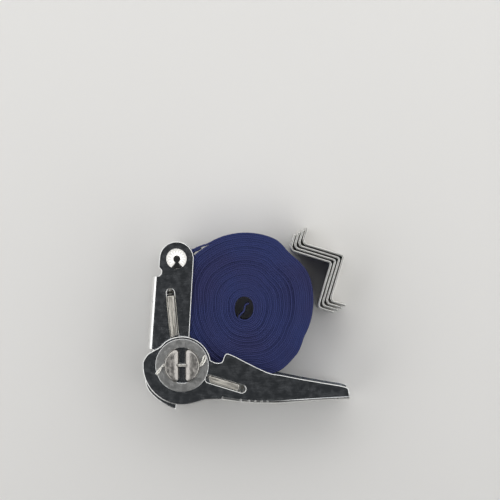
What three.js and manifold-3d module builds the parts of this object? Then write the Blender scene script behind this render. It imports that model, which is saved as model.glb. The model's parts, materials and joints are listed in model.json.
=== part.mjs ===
// A ratchet band clamp, lying on its side: a channel frame and a channel handle share one slotted drum,
// two toothed wheels on the drum are held by a sliding pawl in the frame and one in the handle,
// the webbing band is pinned to the frame and rolled up beside it, and four corner brackets are nested
// beside the roll. +Z is up and is the direction of the drum, +X is the direction of the handle.
import * as THREE from "three";
import { mergeVertices } from "three/addons/utils/BufferGeometryUtils.js";
import Module from "manifold-3d";

const wasm = await Module();
wasm.setup();

// Lengths are in millimetres and angles in degrees.

// Shared sheet metal and clearances
const sheet = 1.6;
const runningGap = 0.3;
const cutOverrun = 1.5;
const weldTolerance = 0.0003;
const plateArcSegments = 16;
const smallHoleSegments = 24;
const edgeSteps = 3;

// Band of webbing
const bandWidth = 25.4;
const bandSideRoom = 0.6;
const stripThickness = 0.8;

// Rolled band
const coilRadius = 41.4;
const coilHoleRadius = 5.7;
const coilLoops = 21;
const stepsPerLoop = 24;
const drumToCoil = 12.3;
const clevisToCoil = 6.266;
const drumSideShare = 0.91;
const coilStartAngle = 250;
const tailAngle = 228;
const tailReachShare = 0.68;
const tailShares = [-1, -0.5, 0, 0.5];
const tailBendSteps = 5;
const holeShiftShares = [-0.02, -0.05];
// Each row is an angle around the roll and the share of its radius that the outer turn reaches there.
const coilOutlineShares = [
  [0, 0.937],
  [28, 0.97],
  [50, 0.937],
  [66, 1],
  [120, 1],
  [137, 1.012],
  [152, 0.98],
  [180, 0.877],
  [200, 0.884],
  [223, drumSideShare],
  [245, 0.966],
  [270, 0.993],
  [297, 1.034],
  [316, 0.988],
  [332, 0.924],
  [354, 0.933],
];

// Sewn loop at the band's end
const sewnLength = 15;
const foldedThickness = 2.1;
const loopWall = 1;
const loopArcSegments = 12;

// Drum
const mandrelRadius = 9.8;
const mandrelSlot = 4.4;
const mandrelChamfer = 0.6;
const mandrelCorner = 1.6;
const mandrelArcSteps = 24;
const mandrelCornerSteps = 4;
const endLand = 1.75;

// Toothed wheels and washers
const teeth = 12;
const wheelRadius = 16.2;
const toothDepth = 2.6;
const toothLandAngle = 3;
const wheelThickness = 2;
const washerRadius = 15.1;
const washerThickness = 1;
const discArcSegments = 24;
const bearingSegments = 40;

// Split pins across the drum
const pinWire = 0.8;
const pinLegPitch = 0.95;
const pinRoom = 0.85;
const pinHoleRadius = 1.25;
const pinHoleSegments = 12;
const pinEyeWidth = 1.6;
const pinEyeLength = 6;
const pinEyeAngle = 66;
// Each row is a share of the eye's length and of its half width.
const pinEyeShares = [
  [0.3, 0.85],
  [0.7, 1],
  [0.93, 0.7],
  [1, 0],
  [0.93, -0.7],
  [0.7, -0.9],
  [0.35, -0.45],
];
const pinTailLength = 6;
const pinTailAngle = 235;
const pinShoulder = 0.75;
const wireSides = 6;

// Frame
const clevisX = -3.3;
const clevisY = 60.7;
const clevisRadius = 9.9;
const armFootLeft = 17.4;
const armFootRight = 3.2;
const frameEndRadius = 13.2;
const frameBend = 3;
const frameWebTop = 50.5;
const frameWebBottom = 9;
const reliefRadius = 2.4;
const reliefOutset = 0.7;
const reliefRise = 2.8;
const camRadius = 25.6;
// Each row is an angle around the drum and the share of the cam's radius that the plate reaches there.
const camShares = [
  [189, 0.79],
  [199, 0.885],
  [217, 0.945],
  [243, 0.96],
  [262, 1],
];

// Rivet that anchors the band
const rivetShankRadius = 3;
const rivetHeadRadius = 5.8;
const rivetHeadHeight = 2.6;
const rivetArcSteps = 6;
const rivetSegments = 28;

// Handle
const handleReach = 95.4;
const handleEndRadius = 22.5;
const handleRingRadius = 16.5;
const handleBend = 2.2;
const handleWebStart = 23;
const ringStartAngle = 10;
const ringEndAngle = 127;
const endArcStart = 175;
const endArcEnd = 279;
// Each row is a share of the handle's reach and of its end radius, first along the top, then the bottom.
const handleTopShares = [
  [0.998, -0.66],
  [0.993, -0.585],
  [0.972, -0.538],
  [0.842, -0.439],
  [0.709, -0.341],
  [0.589, -0.242],
  [0.529, -0.202],
  [0.449, -0.058],
  [0.369, 0.112],
  [0.3, 0.26],
  [0.266, 0.3],
  [0.252, 0.24],
  [0.238, 0.09],
  [0.22, 0.065],
  [0.196, 0.075],
];
// Each row is an angle around the drum and a share of the handle's end radius.
const handleShoulderShares = [
  [142, 0.735],
  [152, 0.81],
  [162, 0.915],
  [169, 0.965],
];
// These rows are shares of the reach and the end radius again, and the web lies along the second set.
const handleWebShare = -0.965;
const handleBellyShares = [
  [0.094, -0.93],
  [0.134, -0.88],
  [0.171, -0.867],
  [0.237, -0.867],
];
const handleBottomShares = [
  [0.241, -0.875],
  [0.343, -0.933],
  [0.44, handleWebShare],
  [0.542, -0.973],
  [0.64, -0.95],
  [0.741, -0.916],
  [0.87, -0.885],
  [1, -0.862],
];
// Five short grooves pressed across the handle's bend.
const dartShares = [0.35, 0.398, 0.437, 0.475, 0.51];
const dartRadius = 0.7;
const dartDepth = 0.5;
const dartReach = 5;
const dartSegments = 12;

// Pawls and their slots
const pawlThickness = 3.4;
const slotWidth = 4.2;
const slotHeel = 1.6;
const pawlChisel = 1.6;
const pawlTipLand = 0.8;
const pawlTravel = 2.9;
const tangHalfWidth = 1.4;
const tangLength = 3;
const springNotchHalfWidth = 5;
const springNotchDepth = 3;
const slotArcSegments = 8;
const slotRoom = 1.1;
const framePawl = { angle: 95.46, offset: 2.8, length: 23.4 };
const handlePawl = { offset: -2.9, length: 18.1 };

// Pawl springs and the lugs that they push on
const springWire = 0.8;
const springRadius = 3.1;
const springLength = 10.3;
const springToWeb = 1.501;
const springCurls = 5;
const stepsPerCurl = 8;
const springSides = 5;
const lugHalfWidth = 4.5;
const lugPastSpring = 3.5;
const lugWindowRoom = 1;

// Corner brackets
const bracketCount = 4;
const bracketSheet = 1.2;
const bracketLeg = 24.8;
const bracketLongLeg = 26.9;
const bracketLip = 9.4;
const bracketBend = 1.5;
const bracketLipBend = 2.6;
const bendSteps = 7;
const bracketEdge = 2.2;
const bracketTurn = -17;
const bracketBearing = 26.3;
const bracketNest = 1.9;
const coilToBracket = 1.6;
const dentShare = 0.937;
const bandSlotSideRoom = 0.6;
const bandSlotHeight = 2.2;
const bandSlotLift = 1.6;
const bracketWidth = bandWidth + 2 * (bandSlotSideRoom + bracketEdge);

// Levels along the drum, counted from the middle of the band
const frameInner = bandWidth / 2 + bandSideRoom;
const frameOuter = frameInner + sheet;
const wheelInner = frameOuter + runningGap;
const wheelOuter = wheelInner + wheelThickness;
const handleInner = wheelOuter + runningGap;
const handleOuter = handleInner + sheet;
const washerInner = handleOuter + runningGap;
const washerOuter = washerInner + washerThickness;
const pinLevel = washerOuter + pinRoom;
const mandrelEnd = pinLevel + endLand;
const bearingRadius = mandrelRadius + runningGap;
const pawlTip = wheelRadius + runningGap;

// The handle's pawl points so that the far end of its spring runs just above the handle's web.
const handleSpringEnd = pawlTip + handlePawl.length - springNotchDepth + runningGap + springLength;
const handleSpringLevel = handleEndRadius * handleWebShare + sheet + springToWeb + springRadius + springWire / 2;
handlePawl.angle = THREE.MathUtils.radToDeg(
  Math.asin(handleSpringLevel / Math.hypot(handleSpringEnd, handlePawl.offset)) -
    Math.atan2(handlePawl.offset, handleSpringEnd),
);

const steel = new THREE.MeshStandardMaterial({ color: 0x8c9096, metalness: 1, roughness: 0.28 });
const brightSteel = new THREE.MeshStandardMaterial({ color: 0xc9cacb, metalness: 1, roughness: 0.2 });
const washerSteel = new THREE.MeshStandardMaterial({ color: 0xa2a4a4, metalness: 1, roughness: 0.4 });
const zincSteel = new THREE.MeshStandardMaterial({ color: 0xd2d3d0, metalness: 1, roughness: 0.3 });
const webbing = new THREE.MeshStandardMaterial({ color: 0x2a2f66, metalness: 0, roughness: 0.85 });

const radians = THREE.MathUtils.degToRad;
const lerp = THREE.MathUtils.lerp;

function polar(radius, angle) {
  return new THREE.Vector2(radius * Math.cos(radians(angle)), radius * Math.sin(radians(angle)));
}

// A smooth line through the points, with a few steps from each to the next.
function smoothLine(points, steps = edgeSteps) {
  const places = points.map((p) => new THREE.Vector3(p.x, p.y, 0));
  const curve = new THREE.CatmullRomCurve3(places, false, "centripetal");
  return curve.getPoints(steps * (points.length - 1)).map((p) => new THREE.Vector2(p.x, p.y));
}

function lineThrough(outline, points) {
  for (const place of points) outline.lineTo(place.x, place.y);
}

// Solids and geometry

function solidFrom(geometry) {
  const bare = geometry.index ? geometry.toNonIndexed() : geometry.clone();
  for (const name of Object.keys(bare.attributes)) if (name !== "position") bare.deleteAttribute(name);
  const merged = mergeVertices(bare, weldTolerance);
  return new wasm.Manifold(
    new wasm.Mesh({
      numProp: 3,
      vertProperties: merged.attributes.position.array,
      triVerts: new Uint32Array(merged.index.array),
    }),
  );
}

function geometryFrom(solid) {
  const made = solid.getMesh();
  const places = new Float32Array(made.numVert * 3);
  for (let i = 0; i < made.numVert; i++)
    places.set(made.vertProperties.subarray(i * made.numProp, i * made.numProp + 3), i * 3);
  const indexed = new THREE.BufferGeometry();
  indexed.setAttribute("position", new THREE.BufferAttribute(places, 3));
  indexed.setIndex(new THREE.BufferAttribute(made.triVerts, 1));
  const flat = indexed.toNonIndexed();
  flat.computeVertexNormals();
  return flat;
}

function slab(shape, low, high, segments = plateArcSegments) {
  const made = new THREE.ExtrudeGeometry(shape, {
    depth: high - low,
    bevelEnabled: false,
    curveSegments: segments,
  });
  return made.translate(0, 0, low);
}

// The same plate on both sides of the band's middle plane.
function platePair(shape, inner, outer) {
  return solidFrom(slab(shape, inner, outer)).add(solidFrom(slab(shape, -outer, -inner)));
}

function rod(radius, x, y, reach, segments) {
  const made = new THREE.CylinderGeometry(radius, radius, 2 * reach, segments);
  return solidFrom(made.rotateX(Math.PI / 2).translate(x, y, 0));
}

function block(low, high) {
  const size = high.clone().sub(low);
  const middle = high.clone().add(low).multiplyScalar(0.5);
  return new THREE.BoxGeometry(size.x, size.y, size.z).translate(middle.x, middle.y, middle.z);
}

// A closed surface through rings of points, with both ends capped.
// The contour is one ring laid flat, counter-clockwise as seen against the direction of travel.
function loft(rings, contour) {
  const places = [];
  const face = (a, b, c) => {
    for (const point of [a, b, c]) places.push(point.x, point.y, point.z);
  };
  const count = contour.length;
  for (let i = 0; i + 1 < rings.length; i++)
    for (let j = 0; j < count; j++) {
      const next = (j + 1) % count;
      face(rings[i][j], rings[i][next], rings[i + 1][next]);
      face(rings[i][j], rings[i + 1][next], rings[i + 1][j]);
    }
  const first = rings[0];
  const last = rings[rings.length - 1];
  for (const [a, b, c] of THREE.ShapeUtils.triangulateShape(contour, [])) {
    face(first[a], first[c], first[b]);
    face(last[a], last[b], last[c]);
  }
  const made = new THREE.BufferGeometry();
  made.setAttribute("position", new THREE.Float32BufferAttribute(places, 3));
  made.computeVertexNormals();
  return made;
}

// A round wire along a list of points.
function wire(points, radius, sides) {
  const contour = [];
  for (let j = 0; j < sides; j++) contour.push(polar(radius, (360 * j) / sides));
  let normal = new THREE.Vector3(0, 0, 1);
  const rings = points.map((point, i) => {
    const before = points[Math.max(i - 1, 0)];
    const after = points[Math.min(i + 1, points.length - 1)];
    const along = after.clone().sub(before).normalize();
    normal = normal.clone().addScaledVector(along, -normal.dot(along)).normalize();
    const side = new THREE.Vector3().crossVectors(along, normal);
    return contour.map((c) => point.clone().addScaledVector(normal, c.x).addScaledVector(side, c.y));
  });
  return loft(rings, contour);
}

// The flat strip of webbing along a list of points in the XY plane.
function strip(points, thickness, halfWidth) {
  const contour = [
    new THREE.Vector2(-thickness / 2, -halfWidth),
    new THREE.Vector2(thickness / 2, -halfWidth),
    new THREE.Vector2(thickness / 2, halfWidth),
    new THREE.Vector2(-thickness / 2, halfWidth),
  ];
  const rings = points.map((point, i) => {
    const before = points[Math.max(i - 1, 0)];
    const after = points[Math.min(i + 1, points.length - 1)];
    const along = after.clone().sub(before).normalize();
    const left = new THREE.Vector2(-along.y, along.x);
    return contour.map((c) => {
      const edge = point.clone().addScaledVector(left, c.x);
      return new THREE.Vector3(edge.x, edge.y, c.y);
    });
  });
  return loft(rings, contour);
}

// The least distance between the surfaces of runs that lie more than half a turn apart.
function leastGap(points, thickness, halfTurn) {
  let least = Infinity;
  const segment = new THREE.Line3();
  const nearest = new THREE.Vector3();
  const places = points.map((p) => new THREE.Vector3(p.x, p.y, p.z ?? 0));
  for (let i = 0; i < places.length; i++)
    for (let j = i + halfTurn; j + 1 < places.length; j++) {
      segment.set(places[j], places[j + 1]).closestPointToPoint(places[i], true, nearest);
      least = Math.min(least, nearest.distanceTo(places[i]) - thickness);
    }
  return least;
}

// A bent web: a channel's back and its two bends, swept along the edge where the side plates end.
function channelWeb(edge, inward, bend, inner, outer) {
  const contour = [];
  const legEnd = bend + sheet;
  const bendArc = (radius, x, y, from, to) => {
    for (let i = 0; i <= bendSteps; i++)
      contour.push(polar(radius, lerp(from, to, i / bendSteps)).add(new THREE.Vector2(x, y)));
  };
  contour.push(new THREE.Vector2(legEnd, inner));
  bendArc(bend - sheet, bend, outer - bend, 90, 180);
  bendArc(bend - sheet, bend, bend - outer, 180, 270);
  contour.push(new THREE.Vector2(legEnd, -inner), new THREE.Vector2(legEnd, -outer));
  bendArc(bend, bend, bend - outer, 270, 180);
  bendArc(bend, bend, outer - bend, 180, 90);
  contour.push(new THREE.Vector2(legEnd, outer));
  if (THREE.ShapeUtils.isClockWise(contour)) contour.reverse();
  const rings = edge.map((base) =>
    contour.map((c) => {
      const place = base.clone().addScaledVector(inward, c.x - bend);
      return new THREE.Vector3(place.x, place.y, c.y);
    }),
  );
  return solidFrom(loft(rings, contour));
}

// Shapes made in a pawl's own frame, X outward along its slot, are turned to the pawl's angle.
function turned(geometry, angle) {
  return geometry.rotateZ(radians(angle));
}

function slotCut(pawl, reach) {
  const half = slotWidth / 2;
  const outline = new THREE.Shape();
  const start = pawlTip - slotHeel + half;
  const end = pawlTip + pawl.length + pawlTravel + slotRoom - half;
  outline.absarc(end, pawl.offset, half, -Math.PI / 2, Math.PI / 2, false);
  outline.absarc(start, pawl.offset, half, Math.PI / 2, (3 * Math.PI) / 2, false);
  return solidFrom(turned(slab(outline, -reach, reach, slotArcSegments), pawl.angle));
}

// The lug under a pawl's spring is a tongue cut from the web and bent in, which leaves a window.
function lugPlace(pawl) {
  return pawlTip + pawl.length - springNotchDepth + springLength + 2 * runningGap;
}

function lug(pawl, webSide) {
  const start = lugPlace(pawl);
  const far = pawl.offset - webSide * lugPastSpring;
  const low = new THREE.Vector3(start, Math.min(far, webSide), -lugHalfWidth);
  const high = new THREE.Vector3(start + sheet, Math.max(far, webSide), lugHalfWidth);
  return { low, high };
}

// Drum

// The outline of one bar: an arc and a flat, with the two corners between them rounded.
function halfRound(radius, flat, corner, side) {
  const reach = flat + corner;
  const rise = Math.sqrt((radius - corner) ** 2 - reach ** 2);
  const turn = THREE.MathUtils.radToDeg(Math.atan2(rise, reach));
  const points = [];
  const arc = (x, y, size, from, to, steps) => {
    for (let i = 0; i <= steps; i++)
      points.push(polar(size, lerp(from, to, i / steps)).add(new THREE.Vector2(x, y)).multiplyScalar(side));
  };
  arc(0, 0, radius, -turn, turn, mandrelArcSteps);
  arc(reach, rise, corner, turn, 180, mandrelCornerSteps);
  arc(reach, -rise, corner, 180, 360 - turn, mandrelCornerSteps);
  return points.filter((p, i) => p.distanceTo(points[(i + 1) % points.length]) > weldTolerance);
}

// One half of the drum, with both ends chamfered.
function mandrelHalf(side) {
  const ring = (inset, level) =>
    halfRound(mandrelRadius - inset, mandrelSlot / 2 + inset, mandrelCorner - inset, side).map(
      (p) => new THREE.Vector3(p.x, p.y, level),
    );
  const shoulder = mandrelEnd - mandrelChamfer;
  const rings = [
    ring(mandrelChamfer, -mandrelEnd),
    ring(0, -shoulder),
    ring(0, shoulder),
    ring(mandrelChamfer, mandrelEnd),
  ];
  let solid = solidFrom(loft(rings, rings[0].map((p) => new THREE.Vector2(p.x, p.y))));
  for (const level of [-pinLevel, pinLevel]) {
    const holeLength = 2 * (mandrelRadius + cutOverrun);
    const hole = new THREE.CylinderGeometry(pinHoleRadius, pinHoleRadius, holeLength, pinHoleSegments);
    solid = solid.subtract(solidFrom(hole.rotateZ(Math.PI / 2).translate(0, 0, level)));
  }
  return geometryFrom(solid);
}

function ratchetWheel() {
  const outline = new THREE.Shape();
  const rootRadius = wheelRadius - toothDepth;
  for (let i = 0; i < teeth; i++) {
    const angle = (360 * i) / teeth;
    const root = polar(rootRadius, angle);
    const crest = polar(wheelRadius, angle);
    const land = polar(wheelRadius, angle + toothLandAngle);
    if (i === 0) outline.moveTo(root.x, root.y);
    else outline.lineTo(root.x, root.y);
    outline.lineTo(crest.x, crest.y);
    outline.lineTo(land.x, land.y);
  }
  for (const side of [-1, 1]) {
    const hole = halfRound(bearingRadius, mandrelSlot / 2 - runningGap, mandrelCorner + runningGap, side);
    outline.holes.push(new THREE.Path(hole));
  }
  return slab(outline, 0, wheelThickness);
}

function washer() {
  const outline = new THREE.Shape();
  outline.absarc(0, 0, washerRadius, 0, 2 * Math.PI, false);
  const hole = new THREE.Path();
  hole.absarc(0, 0, bearingRadius, 0, 2 * Math.PI, true);
  outline.holes.push(hole);
  return slab(outline, 0, washerThickness, discArcSegments);
}

// A split pin: one wire folded at its eye, with both legs through the drum and their ends bent over.
function splitPin() {
  const half = pinLegPitch / 2;
  const out = mandrelRadius + pinShoulder;
  const eye = polar(1, pinEyeAngle);
  const eyeSide = new THREE.Vector2(eye.y, -eye.x);
  const tail = polar(1, pinTailAngle);
  const tailSide = new THREE.Vector2(tail.y, -tail.x);
  const eyeRoot = new THREE.Vector2(out + half, 0);
  const tailRoot = new THREE.Vector2(-out - half, 0);
  const eyePoint = (along, side) => {
    const place = eyeRoot.clone().addScaledVector(eye, along * pinEyeLength);
    return place.addScaledVector(eyeSide, (side * pinEyeWidth) / 2);
  };
  const tailPoint = (along, side) => {
    const place = tailRoot.clone().addScaledVector(tail, along * pinTailLength);
    return place.addScaledVector(tailSide, side * half);
  };
  const route = [
    tailPoint(1, 1),
    tailPoint(0.5, 1),
    new THREE.Vector2(-out + half, -half),
    new THREE.Vector2(-out / 2, -half),
    new THREE.Vector2(0, -half),
    new THREE.Vector2(out / 2, -half),
    new THREE.Vector2(out, -half),
    ...pinEyeShares.map(([along, side]) => eyePoint(along, side)),
    new THREE.Vector2(out - half, half),
    new THREE.Vector2(out / 2, half),
    new THREE.Vector2(0, half),
    new THREE.Vector2(-out / 2, half),
    new THREE.Vector2(-out, half),
    tailPoint(0.5, -1),
    tailPoint(1, -1),
  ].map((p) => new THREE.Vector3(p.x, p.y, 0));
  const curve = new THREE.CatmullRomCurve3(route, false, "centripetal");
  return wire(curve.getPoints(2 * (route.length - 1)), pinWire / 2, wireSides);
}

// Frame

function armLeftEdge(y) {
  return lerp(-armFootLeft, clevisX - clevisRadius, y / clevisY);
}

function armRightEdge(y) {
  return lerp(armFootRight, clevisX + clevisRadius, y / clevisY);
}

function framePlate() {
  const outline = new THREE.Shape();
  outline.absarc(clevisX, clevisY, clevisRadius, 0, Math.PI, false);
  outline.lineTo(-armFootLeft, 0);
  lineThrough(outline, smoothLine(camShares.map(([angle, share]) => polar(camRadius * share, angle))));
  const stepAngle = camShares[camShares.length - 1][0];
  const shoulderHeight = Math.sqrt(frameEndRadius ** 2 - armFootRight ** 2);
  const shoulderX = armRightEdge(shoulderHeight);
  const shoulderY = Math.sqrt(frameEndRadius ** 2 - shoulderX ** 2);
  outline.absarc(0, 0, frameEndRadius, radians(stepAngle - 360), Math.atan2(shoulderY, shoulderX), false);
  return outline;
}

function frame() {
  const foot = new THREE.Vector2(-armFootLeft, 0);
  const top = new THREE.Vector2(armLeftEdge(clevisY), clevisY);
  const down = foot.clone().sub(top).normalize();
  const inward = new THREE.Vector2(-down.y, down.x);
  const edge = [frameWebTop, frameWebBottom].map((y) => new THREE.Vector2(armLeftEdge(y), y));
  const webOutset = lugPlace(framePawl);
  const webPlace = new THREE.Vector2(armLeftEdge(webOutset), webOutset).addScaledVector(inward, sheet - frameBend);
  const webNormal = polar(1, framePawl.angle + 90);
  const webSide = webPlace.dot(webNormal) + sheet / 2;
  const { low, high } = lug(framePawl, webSide > 0 ? 1 : -1);
  high.y = webSide;
  const window = block(
    new THREE.Vector3(low.x - lugHalfWidth, webSide - 2 * sheet, -lugHalfWidth - lugWindowRoom),
    new THREE.Vector3(low.x - runningGap, webSide + 3 * sheet, lugHalfWidth + lugWindowRoom),
  );
  const reach = frameOuter + cutOverrun;
  const relief = frameWebTop + reliefRise;
  const solid = platePair(framePlate(), frameInner, frameOuter)
    .add(channelWeb(edge, inward, frameBend, frameInner, frameOuter))
    .subtract(solidFrom(turned(window, framePawl.angle)))
    .add(solidFrom(turned(block(low, high), framePawl.angle)))
    .subtract(rod(bearingRadius, 0, 0, reach, bearingSegments))
    .subtract(rod(rivetShankRadius + runningGap, clevisX, clevisY, reach, smallHoleSegments))
    .subtract(rod(reliefRadius, armLeftEdge(relief) - reliefOutset, relief, reach, smallHoleSegments))
    .subtract(slotCut(framePawl, reach));
  return geometryFrom(solid);
}

function anchorRivet() {
  const profile = [];
  const seat = frameOuter + runningGap;
  const ball = (rivetHeadRadius ** 2 + rivetHeadHeight ** 2) / (2 * rivetHeadHeight);
  const spread = Math.asin(rivetHeadRadius / ball);
  const dome = (step) => {
    const turn = (spread * step) / rivetArcSteps;
    return [ball * Math.sin(turn), seat + rivetHeadHeight - ball * (1 - Math.cos(turn))];
  };
  for (let i = 0; i <= rivetArcSteps; i++) {
    const [across, height] = dome(i);
    profile.push(new THREE.Vector2(i === 0 ? 0 : across, -height));
  }
  profile.push(new THREE.Vector2(rivetShankRadius, -seat), new THREE.Vector2(rivetShankRadius, seat));
  for (let i = rivetArcSteps; i >= 0; i--) {
    const [across, height] = dome(i);
    profile.push(new THREE.Vector2(i === 0 ? 0 : across, height));
  }
  return new THREE.LatheGeometry(profile, rivetSegments).rotateX(Math.PI / 2);
}

// Handle

function sized([alongShare, acrossShare]) {
  return new THREE.Vector2(handleReach * alongShare, handleEndRadius * acrossShare);
}

// The flat edge of the handle's side plates, one bend inside the bottom line.
function handleFlatEdge() {
  const edge = handleBottomShares.map(sized);
  edge[0].x = handleWebStart;
  for (const place of edge) place.y += handleBend;
  return smoothLine(edge);
}

// The height of that flat edge at a distance along the handle.
function flatEdgeLevel(edge, along) {
  for (let i = 0; i + 1 < edge.length; i++)
    if (along <= edge[i + 1].x)
      return lerp(edge[i].y, edge[i + 1].y, (along - edge[i].x) / (edge[i + 1].x - edge[i].x));
  return edge[edge.length - 1].y;
}

function handlePlate() {
  const outline = new THREE.Shape();
  const flatEdge = handleFlatEdge();
  const tip = flatEdge[flatEdge.length - 1];
  outline.moveTo(tip.x, tip.y);
  lineThrough(outline, smoothLine(handleTopShares.map(sized)));
  outline.absarc(0, 0, handleRingRadius, radians(ringStartAngle), radians(ringEndAngle), false);
  const shoulder = [
    polar(handleRingRadius, ringEndAngle),
    ...handleShoulderShares.map(([angle, share]) => polar(handleEndRadius * share, angle)),
    polar(handleEndRadius, endArcStart),
  ];
  lineThrough(outline, smoothLine(shoulder).slice(1, -1));
  outline.absarc(0, 0, handleEndRadius, radians(endArcStart), radians(endArcEnd), false);
  const belly = [polar(handleEndRadius, endArcEnd), ...handleBellyShares.map(sized)];
  for (const place of belly) place.x = Math.min(place.x, handleWebStart);
  lineThrough(outline, smoothLine(belly).slice(1));
  lineThrough(outline, flatEdge.slice(0, -1));
  return outline;
}

function handle() {
  const inward = new THREE.Vector2(0, 1);
  const flatEdge = handleFlatEdge();
  const lugStart = polar(lugPlace(handlePawl), handlePawl.angle);
  const webInside = handleEndRadius * handleWebShare + sheet / 2;
  const webSide = new THREE.Vector2(lugStart.x, webInside).dot(polar(1, handlePawl.angle + 90));
  const { low, high } = lug(handlePawl, -1);
  low.y = webSide;
  const window = block(
    new THREE.Vector3(low.x - lugHalfWidth, webSide - 3 * sheet, -lugHalfWidth - lugWindowRoom),
    new THREE.Vector3(low.x - runningGap, webSide + 2 * sheet, lugHalfWidth + lugWindowRoom),
  );
  const reach = handleOuter + cutOverrun;
  let solid = platePair(handlePlate(), handleInner, handleOuter)
    .add(channelWeb(flatEdge, inward, handleBend, handleInner, handleOuter))
    .subtract(solidFrom(turned(window, handlePawl.angle)))
    .add(solidFrom(turned(block(low, high), handlePawl.angle)))
    .subtract(rod(bearingRadius, 0, 0, reach, bearingSegments))
    .subtract(slotCut(handlePawl, reach));
  for (const share of dartShares)
    for (const side of [-1, 1]) {
      const groove = new THREE.CylinderGeometry(dartRadius, dartRadius, dartReach, dartSegments);
      groove.rotateX((side * Math.PI) / 4);
      const lift = handleBend * (1 - Math.SQRT1_2) + (dartDepth - dartRadius) * Math.SQRT1_2;
      const along = handleReach * share;
      const bottom = flatEdgeLevel(flatEdge, along) - handleBend;
      groove.translate(along, bottom + lift, side * (handleOuter - lift));
      solid = solid.subtract(solidFrom(groove));
    }
  return geometryFrom(solid);
}

// Pawls and springs

// A sliding plate with one edge at the wheels, and a tongue behind that keeps the spring in place.
function pawlPlate(pawl, halfWidth) {
  const end = pawlTip + pawl.length;
  const seat = end - springNotchDepth;
  const outline = new THREE.Shape();
  outline.moveTo(pawlTip, -halfWidth);
  for (const side of [-1, 1]) {
    const corners = [
      [end, halfWidth],
      [end, springNotchHalfWidth],
      [seat, springNotchHalfWidth],
      [seat, tangHalfWidth],
      [seat + springNotchDepth + tangLength, tangHalfWidth],
    ];
    for (const [x, y] of side < 0 ? corners : corners.reverse()) outline.lineTo(x, side * y);
  }
  outline.lineTo(pawlTip, halfWidth);
  const plate = slab(outline, -pawlThickness / 2, pawlThickness / 2).rotateX(Math.PI / 2);
  const wedge = new THREE.Shape();
  const under = -pawlThickness / 2 - cutOverrun;
  wedge.moveTo(pawlTip - cutOverrun, under);
  wedge.lineTo(pawlTip + pawlChisel + cutOverrun, under);
  wedge.lineTo(pawlTip + pawlChisel, -pawlThickness / 2);
  wedge.lineTo(pawlTip, pawlThickness / 2 - pawlTipLand);
  wedge.lineTo(pawlTip - cutOverrun, pawlThickness / 2 - pawlTipLand);
  const reach = halfWidth + cutOverrun;
  const solid = solidFrom(plate).subtract(solidFrom(slab(wedge, -reach, reach)));
  return geometryFrom(solid).translate(0, pawl.offset, 0);
}

function pawlSpring(pawl) {
  const start = pawlTip + pawl.length - springNotchDepth + runningGap;
  const end = start + springLength;
  const from = start + springWire;
  const to = end - springWire;
  const points = [];
  const place = (along, angle) => {
    const around = polar(springRadius, angle);
    return new THREE.Vector3(along, pawl.offset + around.x, around.y);
  };
  points.push(place(start, 0));
  const steps = springCurls * stepsPerCurl;
  for (let i = 0; i <= steps; i++) points.push(place(lerp(from, to, i / steps), (360 * i) / stepsPerCurl));
  points.push(place(end, 0));
  console.log("least gap in a pawl spring:", leastGap(points, springWire, stepsPerCurl / 2 + 1).toFixed(2));
  return wire(points, springWire / 2, springSides);
}

// Band

const clevis = new THREE.Vector2(clevisX, clevisY);

// The roll lies against the drum and the rivet, at its own distance from each.
function coilPlace() {
  const fromDrum = drumToCoil + coilRadius * drumSideShare;
  const fromClevis = coilRadius + clevisToCoil;
  const apart = clevis.length();
  const along = (apart ** 2 + fromDrum ** 2 - fromClevis ** 2) / (2 * apart);
  const across = Math.sqrt(fromDrum ** 2 - along ** 2);
  const unit = clevis.clone().normalize();
  return new THREE.Vector2(unit.y, -unit.x).multiplyScalar(across).addScaledVector(unit, along);
}

const coilCentre = coilPlace();
const holeCentre = coilCentre
  .clone()
  .add(new THREE.Vector2(coilRadius * holeShiftShares[0], coilRadius * holeShiftShares[1]));

function outlineShare(angle) {
  const turn = ((angle % 360) + 360) % 360;
  const rows = [...coilOutlineShares, [360 + coilOutlineShares[0][0], coilOutlineShares[0][1]]];
  for (let i = 0; i + 1 < rows.length; i++)
    if (turn <= rows[i + 1][0]) {
      const part = (turn - rows[i][0]) / (rows[i + 1][0] - rows[i][0]);
      return lerp(rows[i][1], rows[i + 1][1], (1 - Math.cos(Math.PI * part)) / 2);
    }
  return rows[0][1];
}

// Where the outer turn leaves the roll, on a line that touches the roll and ends at the rivet.
function leaveAngle() {
  const away = clevis.clone().sub(coilCentre);
  const bearing = THREE.MathUtils.radToDeg(Math.atan2(away.y, away.x));
  return bearing - THREE.MathUtils.radToDeg(Math.acos(coilRadius / away.length()));
}

function leavePoint() {
  return polar(coilRadius - stripThickness / 2, leaveAngle()).add(coilCentre);
}

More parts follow.
